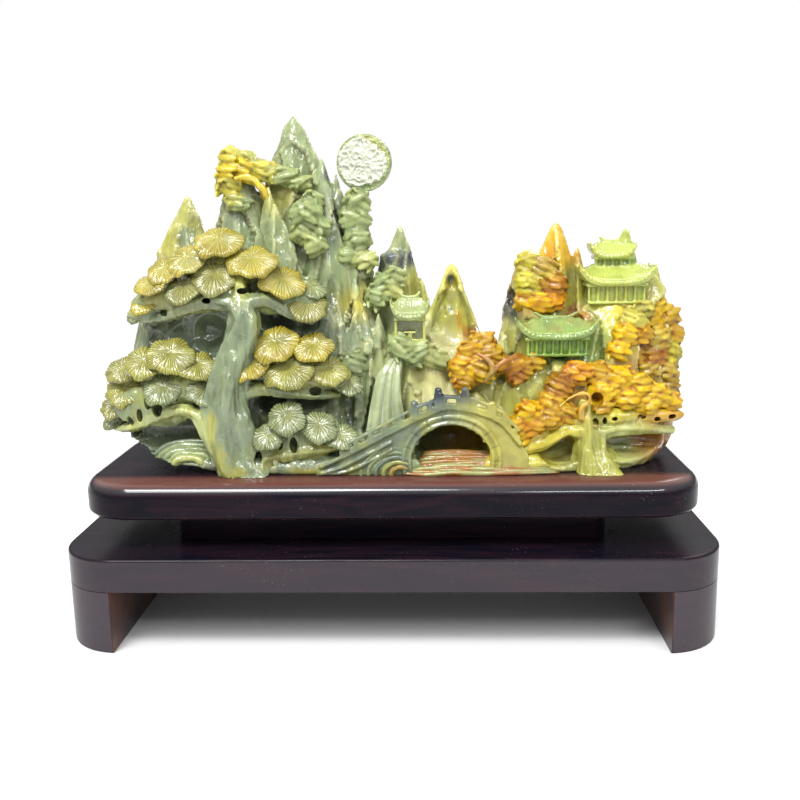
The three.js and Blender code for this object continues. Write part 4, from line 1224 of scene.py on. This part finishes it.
class CARVING_OT_bridge(bpy.types.Operator):
    """Makes the arched bridge with its rings of stone, slotted railing and posts"""

    bl_idname = "carving.bridge"
    bl_label = "Bridge"

    def execute(self, context):
        form = Carved()
        middle, half_width, springing, rise = BRIDGE["arch"]
        front = BRIDGE["front"]
        half_depth = (BRIDGE["back"] - front - 0.6) / 2
        stations = np.linspace(-11.4, 22, 30)
        for left, right in zip(stations, stations[1:]):
            x = (left + right) / 2
            top, under = deck_height(x), 0
            if abs(x - middle) < half_width:
                under = springing + rise * math.sqrt(1 - ((x - middle) / half_width) ** 2)
            points, faces = block(((right - left) * 1.3, half_depth * 2, max(top - under, 1)))
            slope = (deck_height(right) - deck_height(left)) / (right - left)
            points[:, 2] += points[:, 0] * slope * (points[:, 2] > 0)
            form.add((points, faces), (x, front + 0.6 + half_depth, (top + under) / 2))
        for grow, radius in BRIDGE["rings"]:
            centre = (middle, front + 0.55, springing)
            ring = arc(centre, half_width + grow, rise + grow, np.linspace(-0.3, math.pi + 0.3, 13))
            form.add(bough_shape(ring, [radius] * 13, sides=12, bark=0))
        # The upper moulding crosses the arch, and the lower ones stop at its sides.
        for drop, radius in BRIDGE["mouldings"]:
            line = [(x, front + 0.5, max(deck_height(x) - drop, 0.3)) for x in np.linspace(-11, 21, 12)]
            for side in (-1, 1):
                part = [point for point in line if drop < 1 or (point[0] - middle) * side > half_width + 1.6]
                if len(part) > 2:
                    form.add(bough_shape(part, [radius] * len(part), sides=12, bark=0.05))
        # The railing: a base and a handrail with uprights between, which leave slots.
        stations = np.linspace(-7.4, 20.6, 13)
        for left, right in zip(stations, stations[1:]):
            for lift, height in ((0.45, 0.55), (1.75, 0.5)):
                ends = [(x, front + 0.6, deck_height(x) + lift) for x in (left - 0.1, right + 0.1)]
                form.add(bar_shape(*ends, 0.9, height))
            form.add(block((0.85, 0.8, 1.6), bevel=0.12), (left, front + 0.6, deck_height(left) + 1.1))
        for x, tall in BRIDGE["posts"]:
            form.add(block((1.3, 1.3, tall), bevel=0.2), (x, front + 0.6, deck_height(x) + tall / 2))
            knob = turned([(0, -0.1), (0.45, -0.1), (0.62, 0.2), (0.55, 0.5), (0.2, 0.75), (0, 0.8)], 14)
            form.add(knob, (x, front + 0.6, deck_height(x) + tall))
        points, faces, normals, edges = skinned(form.joined(), settings().fine_grain / unit(), smooth=2)
        joints = stone_joints(points)
        points = points + normals * (rough(points, 1.6, 3.7) * 0.1 - joints * 0.08)[:, None]
        points[:, 2] = np.maximum(points[:, 2], 0)
        above = points[:, 2] - deck_height(points[:, 0])
        colours = mix("sage", "grey_green", ramp(rough(points, 3, 5.5), -0.3, 0.3))
        colours = mix(colours, "lime", ramp(rough(points, 2.6, 1.1), 0.05, 0.4) * 0.5)
        colours = mix(colours, "lemon", ramp(points[:, 0], 8, 16) * 0.8)
        colours = mix(colours, "slate", ramp(above, 0.5, 1.5) * np.exp(-((points[:, 0] - 8) / 5.5) ** 2))
        colours = mix(colours, "night", ramp(above, 1.6, 2.2) * np.exp(-((points[:, 0] - 9) / 4.5) ** 4))
        # Painted shade in the cuts and painted highlight along the edges, then painted shade in the fine cuts
        # between the arch's stones.
        colours = painted_relief_light(colours, relief(points, edges, normals), depth=0.2)
        colours = mix(colours, painted_crease_shade(colours), joints * 0.6) * 0.86
        jade_piece("bridge", (points, faces), colours, most=100000)
        return {"FINISHED"}


# Halls

# Roofed halls: middle of the eaves, length, depth and height of the roof, wall height, columns, and colours.
HALLS = [
    ((3.6, -6.4, 24.4), 6.3, 4.4, 3.2, 3.6, 2, "celadon", "lime"),
    ((36.3, -1.8, 33.3), 7.4, 4.4, 2.5, 1.6, 5, "pale_green", "glass_green"),
    ((36.8, -2.4, 29.1), 12.2, 6.6, 3.2, 3, 7, "pale_green", "pale_green"),
    ((27, -5.8, 21), 12.8, 6.6, 3, 2.8, 8, "glass_green", "leaf_green"),
]


def roof_shape(length, depth, height):
    """A thick hipped roof with hollow slopes, ribbed with tiles, its ends sweeping up like a boat."""
    shape = bmesh.new()
    bmesh.ops.create_grid(shape, x_segments=round(length * 9), y_segments=18, size=1)
    grown = bmesh.ops.extrude_face_region(shape, geom=shape.faces[:])
    top = [item for item in grown["geom"] if isinstance(item, bmesh.types.BMVert)]
    bmesh.ops.translate(shape, vec=(0, 0, 1), verts=top)
    bmesh.ops.recalc_face_normals(shape, faces=shape.faces)
    points, faces = taken(shape)
    across, deep = abs(points[:, 0]), abs(points[:, 1])
    slope = np.minimum((1 - deep) ** 1.35 * 1.2, np.clip((1 - across) * 2.3, 0, 1) ** 1.25)
    slope = np.clip(slope, 0, 1)
    ribs = abs(np.sin(points[:, 0] * math.pi * round(length * 1.15)))
    sweep = 0.62 * across ** 5 + 0.16 * across ** 2 * deep ** 2
    lift = np.where(points[:, 2] > 0.5, 0.26 + 0.7 * slope + 0.06 * ribs * (slope < 0.96), -0.08)
    points[:, 0] = points[:, 0] * length / 2
    points[:, 1] = points[:, 1] * depth / 2 * (1 - 0.12 * across ** 3)
    points[:, 2] = (lift + sweep) * height
    return points, faces


def add_hall(form, place, length, depth, height, wall, columns):
    """Adds a hall's roof with its ridge and round tile ends, then its beams, room and columns."""
    x, y, z = place
    form.add(roof_shape(length, depth, height), place)
    half = length * 0.27
    crests = ((-1, 1.3), (-0.6, 1.06), (0, 1.02), (0.6, 1.06), (1, 1.3))
    ridge = [(x + half * share, y, z + height * level) for share, level in crests]
    form.add(bough_shape(ridge, [0.2, 0.34, 0.36, 0.34, 0.2], sides=10, bark=0))
    tiles = round(length * 1.6)
    points, faces = ball(8, 6)
    for step in range(tiles):
        share = (step + 0.5) / tiles * 2 - 1
        rise = 0.62 * abs(share) ** 5 + 0.16 * share ** 2
        eave = y - depth * 0.5 * (1 - 0.12 * abs(share) ** 3)
        form.add((points * 0.27, faces), (x + share * length * 0.47, eave, z + (0.08 + rise) * height))
    for width, level, tall in ((0.8, -0.1, 0.5), (0.71, -wall + 0.1, 0.4)):
        form.add(block((length * width, depth * width, tall), 0.1), (x, y, z + level))
    back = depth * (0.03 if columns > 2 else 0.2)
    form.add(block((length * 0.66, depth * 0.6, wall + 0.6), 0.1), (x, y + back, z - wall / 2))
    points, faces = turned([(0, 0), (0.38, 0), (0.26, 0.14), (0.22, 0.86), (0.38, 1), (0, 1)], 10)
    points[:, 2] *= wall
    for step in range(columns):
        share = step / (columns - 1) - 0.5
        form.add((points, faces), (x + share * length * 0.72, y - depth * 0.3, z - wall))


class CARVING_OT_halls(bpy.types.Operator):
    """Makes the halls with tiled, upturned roofs"""

    bl_idname = "carving.halls"
    bl_label = "Halls"

    def execute(self, context):
        form = Carved()
        for spec in HALLS:
            add_hall(form, *spec[:6])
        # The table in the smallest hall, and the green peak that rises over the highest.
        form.add(block((2, 1, 0.3), bevel=0.1), (3.6, -7.4, 22.2))
        form.add(block((0.7, 0.8, 1.2), bevel=0.1), (3.6, -7.4, 21.6))
        form.add(blade_shape((38.2, -2.2, 31.6), (38.3, -2, 38.2), 2.6, 1, blunt=0.8, ridge=1.1))
        points, faces, normals, edges = skinned(form.joined(), settings().fine_grain / unit() * 0.8, smooth=1)
        points = points + normals * (rough(points, 1.1, 3.7) * 0.07)[:, None]
        colours = np.zeros_like(points)
        gap = np.full(len(points), 1e9)
        for (x, _, z), length, _, height, wall, _, roof_name, wall_name in HALLS:
            above = (points[:, 2] - z - (height - wall) / 2) / (height + wall)
            away = np.hypot((points[:, 0] - x) / length, above)
            closer = away < gap
            gap = np.where(closer, away, gap)
            colours[closer] = mix(roof_name, wall_name, ramp(z - points[:, 2], -0.1, 0.3))[closer]
        colours = mix(colours, rock_colour(points), 0.14 + 0.2 * ramp(rough(points, 3, 2.2), -0.2, 0.3))
        # Painted shade: slate on the smallest hall's room behind its columns, under the roof.
        inside = (points[:, 0] < 10) * (points[:, 1] > -7.1) * (points[:, 2] < 24.2)
        colours = mix(colours, "slate", inside * 0.6)
        # Painted shade in the cuts and painted highlight along the edges.
        colours = painted_relief_light(colours, relief(points, edges, normals), depth=0.16)
        jade_piece("halls", (points, faces), colours, most=120000)
        return {"FINISHED"}


# Water

class CARVING_OT_water(bpy.types.Operator):
    """Makes the waterfall, the stream's ripples and the curling waves by the bridge and at the left"""

    bl_idname = "carving.water"
    bl_label = "Water"

    def execute(self, context):
        water = Carved()
        for step, breadth in enumerate((0.6, 1.25, 0.7, 1, 0.6, 1.15)):
            share = step / 5
            path = [
                (1.6 + 0.6 * share, -6.2, 18.4), (-1.1 + 2.6 * share, -8.2, 15.9),
                (-2.2 + 3.5 * share, -9.2, 12), (-3.4 + 5.6 * share, -9.8, 5.6),
            ]
            radii = [size * breadth for size in (0.4, 0.6, 0.7, 0.8)]
            points, faces, groove = bough_shape(path, radii, sides=12, bark=0.07)
            # Painted highlight: the strands pale towards moon white on their raised parts, and the third
            # strand is paler all over.
            tint = mix("celadon", "moon", 0.12 + 0.34 * groove + 0.3 * (step == 2))
            water.add((points, faces), colours=tint)
        chance = random.Random(3)
        for row in range(14):
            y, z = -13.2 + row * 0.24, 0.3 + row * 0.19
            path = [
                (2.4 + row * 0.25, y + 0.5, z * 0.8), (6, y, z + chance.uniform(-0.2, 0.2)),
                (10, y - 0.1, z + chance.uniform(-0.05, 0.3)), (14.5, y, z + chance.uniform(-0.15, 0.25)),
                (20 - row * 0.1, y - 0.1, z + chance.uniform(-0.1, 0.15)), (27 - row * 0.5, y + 0.5, z * 0.9),
            ]
            points, faces, groove = bough_shape(path, [0.15, 0.4, 0.46, 0.4, 0.4, 0.15], sides=10)
            rusty = ramp(rough(points * (0.3, 1, 1), 1.1, row), -0.24, 0.12) * 0.9
            tint = mix(colour("pale") * 0.5 + colour("cream") * 0.22, colour("rust") * 0.9, rusty)
            # Painted shade: the ripples' grooves take the darker crease colour.
            water.add((points, faces), colours=mix(painted_crease_shade(tint, 0.8), tint, groove))
        for ring, name in enumerate(("honey", "lime", "slate", "sage", "sage", "grey_green")):
            radius = 1.2 + ring * 0.78
            angles = np.linspace(math.pi * 1.02, math.pi * (0.22 + 0.03 * ring), 9)
            path = arc((1.9 - ring * 0.24, -12.7 + 0.1 * ring, 0.1), radius * 1.25, radius, angles)
            points, faces, groove = bough_shape(path, [0.42] * 6 + [0.36, 0.26, 0.12], sides=12, bark=0.06)
            points[:, 2] = np.maximum(points[:, 2], 0)
            # Painted shade and highlight: darker in the grooves, lighter on the raised parts.
            water.add((points, faces), colours=mix("sage", name, 0.6) * (0.75 + 0.35 * groove[:, None]))
        for layer, name in enumerate(("pale", "celadon", "sage", "sage", "grey_green")):
            radius = 1.5 + layer * 0.8
            centre = (-32.6 + 0.2 * layer, -10.6 + 0.5 * layer, 1.4)
            path = arc(centre, radius * 1.5, radius * 0.72, np.linspace(math.pi, 0.1, 8))
            radii = [chance.uniform(0.45, 0.8) for _ in range(8)]
            points, faces, groove = bough_shape(path, radii, sides=12, bark=0.08)
            # Painted shade and highlight: darker in the grooves, lighter on the raised parts.
            water.add((lifted(points), faces), colours=mix(colour(name) * 0.8, colour(name) * 1.1, groove))
        jade_piece("water", *water.painted())
        return {"FINISHED"}


# Stand

def corners(node):
    """The lowest and highest corner of a solid's box."""
    return [Vector(corner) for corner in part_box(node)]


def board_shape(low, high, corner, top_edge, bottom_edge):
    """A board between two corners of its box, with rounded corners and eased edges above and below."""
    shape = bmesh.new()
    bmesh.ops.create_cube(shape, size=1)
    bmesh.ops.scale(shape, vec=high - low, verts=shape.verts)
    bmesh.ops.translate(shape, vec=(high + low) / 2, verts=shape.verts)
    upright = [edge for edge in shape.edges if abs(edge.verts[0].co.z - edge.verts[1].co.z) > 1e-4]
    ease(shape, upright, corner, 16, clamp_overlap=True)
    for level, size in ((high.z, top_edge), (low.z, bottom_edge)):
        rim = [edge for edge in shape.edges if all(abs(vert.co.z - level) < 1e-6 for vert in edge.verts)]
        ease(shape, rim, size, 8, clamp_overlap=True)
    return shape


def leg_shape(node, side):
    """A leg: the end of a block as wide as the table, cut off at the leg's inner face."""
    low, high = corners(node)
    table_low, table_high = corners("table_board")
    ends = Vector((table_low.x, table_low.y, low.z)), Vector((table_high.x, table_high.y, high.z))
    shape = board_shape(*ends, settings().table_corner, 0.0003, 0.0012)
    inner = high.x if side < 0 else low.x
    cut = bmesh.ops.bisect_plane(
        shape, geom=shape.verts[:] + shape.edges[:] + shape.faces[:], plane_co=(inner, 0, 0),
        plane_no=(-side, 0, 0), clear_outer=True,
    )
    edges = [item for item in cut["geom_cut"] if isinstance(item, bmesh.types.BMEdge)]
    bmesh.ops.contextual_create(shape, geom=edges)
    return shape


def wood_piece(node, shape, finish):
    """The finished piece that stands in for one of the stand's solids."""
    bmesh.ops.recalc_face_normals(shape, faces=shape.faces)
    mesh = bpy.data.meshes.new(node + "_finished")
    shape.to_mesh(mesh)
    shape.free()
    mesh.shade_smooth()
    mesh.materials.append(finish)
    piece = linked(mesh.name, mesh)
    piece.modifiers.new("flat faces", "WEIGHTED_NORMAL").keep_sharp = True
    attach(piece, "root")
    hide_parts(node)


class CARVING_OT_stand(bpy.types.Operator):
    """Makes the stand's boards, waist and legs in lacquered rosewood"""

    bl_idname = "carving.stand"
    bl_label = "Stand"

    def execute(self, context):
        sizes = settings()
        # The upright sheen on the table and legs is painted sheen.
        table = rosewood_finish("rosewood", roughness=0.2, shine=0.12, upright_sheen=0.24)
        # The tray's red strip along the front of its top is painted sheen.
        tray = rosewood_finish("rosewood_tray", roughness=0.2, shine=0.08, sheen_strip=0.6, edge_polish=0.75)
        legs = rosewood_finish("rosewood_legs", roughness=0.24, shine=0.12, upright_sheen=0.34, bare_inside=0.8)
        waist = rosewood_finish("rosewood_waist", roughness=0.3, shine=0.05)
        # Each board's finish, then the radii of its corners and of its upper and lower edges.
        boards = {
            "tray_board": (tray, sizes.tray_corner, sizes.tray_edge, 0.003),
            "waist_block": (waist, 0.012, 0.001, 0.001),
            "table_board": (table, sizes.table_corner, sizes.table_edge, 0.0004),
        }
        for node, (finish, *edges) in boards.items():
            wood_piece(node, board_shape(*corners(node), *edges), finish)
        for node, side in (("left_leg", -1), ("right_leg", 1)):
            wood_piece(node, leg_shape(node, side), legs)
        return {"FINISHED"}


# Stage

# Soft lights aimed at the middle of the boulder: name, place, length, width and power.
LIGHTS = [
    ("key_strip", (-0.25, -0.5, 0.95), 0.7, 0.06, 7),
    ("front_strip", (0.5, -0.9, 0.8), 0.7, 0.06, 5),
    ("rim", (0.4, 0.75, 0.9), 0.6, 0.4, 6),
]
LIT = Vector((0, 0, 0.18))


def add_lights():
    for name, place, long, wide, power in LIGHTS:
        light = bpy.data.lights.new(name, "AREA")
        light.shape = "RECTANGLE"
        light.size, light.size_y = long, wide
        light.energy = power
        lamp = linked(name, light)
        lamp.location = place
        lamp.rotation_euler = (LIT - Vector(place)).to_track_quat("-Z", "Y").to_euler()
    sky = bpy.data.lights.new("overhead", "SUN")
    sky.energy = 1.9
    sky.angle = math.radians(22)
    linked("overhead", sky).rotation_euler = Vector((-0.22, -0.5, 0.84)).to_track_quat("Z", "Y").to_euler()


def add_floor():
    finish = Finish("pale_floor")
    speckle = finish.noise(finish.place(), 8.0, 3.0)
    finish.set(base_color=finish.mix(speckle, rgba(0.6, 0.6, 0.6), rgba(0.63, 0.63, 0.63)), roughness=0.8)
    shape = bmesh.new()
    bmesh.ops.create_grid(shape, x_segments=1, y_segments=1, size=40)
    mesh = bpy.data.meshes.new("floor")
    shape.to_mesh(mesh)
    shape.free()
    mesh.materials.append(finish.material)
    linked("floor", mesh)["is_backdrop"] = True


def room_light():
    """The light from all round the studio, white to the camera and weaker from below and behind."""
    room = Finish("pale_room", "worlds", "Background")
    way = room.node("ShaderNodeTexCoord", output="Generated")
    up = way.part("Z")
    behind = way.part("Y").between(0.2, 0.8)
    glow = up.between(0.05, 0.75) * 0.95 + 0.42 - behind * up.between(0.6, 0.2) * 0.3
    seen = room.node("ShaderNodeLightPath", output="Is Camera Ray")
    room.set(color=rgba(1.0, 1.0, 1.0), strength=glow + seen * (1.0 - glow))
    return room.material


def add_camera():
    view = settings()
    camera = bpy.data.cameras.new("camera")
    camera.lens = camera.sensor_width * view.focal_share
    camera.clip_start = 0.01
    eye = linked("camera", camera)
    eye.location = view.camera_place
    turning = turn_of(view.camera_yaw, "Z") @ turn_of(math.pi / 2 - view.camera_pitch, "X")
    eye.rotation_euler = (turning @ turn_of(view.camera_roll, "Z")).to_euler()
    return eye


class CARVING_OT_stage(bpy.types.Operator):
    """Makes the pale floor, the soft lights and the camera"""

    bl_idname = "carving.stage"
    bl_label = "Stage"

    def execute(self, context):
        scene = context.scene
        add_floor()
        scene.world = room_light()
        add_lights()
        scene.camera = add_camera()
        scene.view_settings.view_transform = "Standard"
        return {"FINISHED"}


# Settings, panel and start

def tone(label, hex_code):
    """A setting for a colour of the stone or the wood, from its sRGB hex code."""
    parts = [int(hex_code[i:i + 2], 16) / 255 for i in (1, 3, 5)]
    linear = [part / 12.92 if part <= 0.04045 else ((part + 0.055) / 1.055) ** 2.4 for part in parts]
    return bpy.props.FloatVectorProperty(
        name=label, description=f"The colour that is called {label.lower()}", default=linear,
        subtype="COLOR", min=0, max=1,
    )


def number(label, description, default, **options):
    return bpy.props.FloatProperty(name=label, description=description, default=default, **options)


def length(label, description, default):
    return number(label, description, default, unit="LENGTH", min=0)


def angle(label, description, degrees):
    return number(label, description, math.radians(degrees), subtype="ANGLE")


class CarvingSettings(bpy.types.PropertyGroup):
    """The sizes and colours of the carving and its stand"""

    carving_length: length("Carving length", "Length that the landscape's layout is a share of", 0.4)
    grain: length("Grain", "Size of the faces of the rock's skin", 0.0012)
    leaf_grain: length("Leaf grain", "Size of the faces of the foliage's and trunks' skins", 0.00064)
    fine_grain: length("Fine grain", "Size of the faces of the bridge's and halls' skins", 0.0007)
    lines_per_unit: number(
        "Needle lines", "Lines round a pine pad's middle for each unit of its radius", 6.4, min=2,
    )
    tray_corner: length("Tray corner", "Radius of the tray's corners, seen from above", 0.036)
    tray_edge: length("Tray edge", "Radius of the tray's upper edge", 0.009)
    table_corner: length("Table corner", "Radius of the table's corners, seen from above", 0.038)
    table_edge: length("Table edge", "Radius of the table's upper edge", 0.002)
    stone_shade: number(
        "Stone shade", "How much of the stone colours' brightness the stone itself has", 0.68,
        min=0, max=1, subtype="FACTOR",
    )
    grey_green: tone("Grey green", "#7f8c70")
    bark: tone("Bark", "#8a9877")
    sage: tone("Sage", "#94a274")
    celadon: tone("Celadon", "#a3b277")
    olive: tone("Olive", "#a8a85c")
    straw: tone("Straw", "#c8bb3e")
    lime: tone("Lime", "#b3b357")
    lemon: tone("Lemon", "#cdc352")
    mustard: tone("Mustard", "#e2c730")
    gold: tone("Gold", "#e0b41c")
    amber: tone("Amber", "#dd9d1e")
    honey: tone("Honey", "#cda030")
    tan: tone("Tan", "#bfa050")
    rust: tone("Rust", "#b0742c")
    pale: tone("Pale", "#bcc27c")
    cream: tone("Cream", "#e6e2a8")
    glass_green: tone("Glass green", "#88a456")
    leaf_green: tone("Leaf green", "#789a26")
    pale_green: tone("Pale green", "#b4c460")
    slate: tone("Slate", "#5a6a68")
    night: tone("Night", "#333e4a")
    moon: tone("Moon", "#dfe3cf")
    wood_dark: tone("Dark wood", "#0a0a13")
    wood_red: tone("Red wood", "#1e1018")
    camera_place: bpy.props.FloatVectorProperty(
        name="Camera place", description="Where the photograph was taken from",
        default=(0.0292, -0.6018, 0.2665), subtype="TRANSLATION",
    )
    camera_pitch: angle("Camera pitch", "How far the camera looks down", 11.5)
    camera_yaw: angle("Camera yaw", "How far the camera turns left", 2.2)
    camera_roll: angle("Camera roll", "How far the camera leans", -1.0)
    focal_share: number("Focal share", "Focal length as a share of the picture's width", 899 / 800)


OPERATORS = (
    CARVING_OT_rock, CARVING_OT_pines, CARVING_OT_leaves, CARVING_OT_trunks, CARVING_OT_moon,
    CARVING_OT_bridge, CARVING_OT_halls, CARVING_OT_water, CARVING_OT_stand, CARVING_OT_stage,
)


class CARVING_PT_panel(bpy.types.Panel):
    """Lists the settings and the pieces that can be made"""

    bl_idname = "CARVING_PT_panel"
    bl_label = "Jade carving"
    bl_space_type = "VIEW_3D"
    bl_region_type = "UI"
    bl_category = "Carving"

    def draw(self, context):
        for name in CarvingSettings.__annotations__:
            self.layout.prop(context.scene.jade_carving, name)
        for operator in OPERATORS:
            self.layout.operator(operator.bl_idname)


def register():
    for made in (CarvingSettings, *OPERATORS, CARVING_PT_panel):
        bpy.utils.register_class(made)
    bpy.types.Scene.jade_carving = bpy.props.PointerProperty(type=CarvingSettings)


def unregister():
    del bpy.types.Scene.jade_carving
    for made in (CARVING_PT_panel, *reversed(OPERATORS), CarvingSettings):
        bpy.utils.unregister_class(made)


def main():
    register()
    for operator in OPERATORS:
        group, name = operator.bl_idname.split(".")
        getattr(getattr(bpy.ops, group), name)()
    boxes = {"cad": CAD_BOX, "visual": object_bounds()}
    {name: [list(corner) for corner in box] for name, box in boxes.items()}


if __name__ == "__main__":
    main()
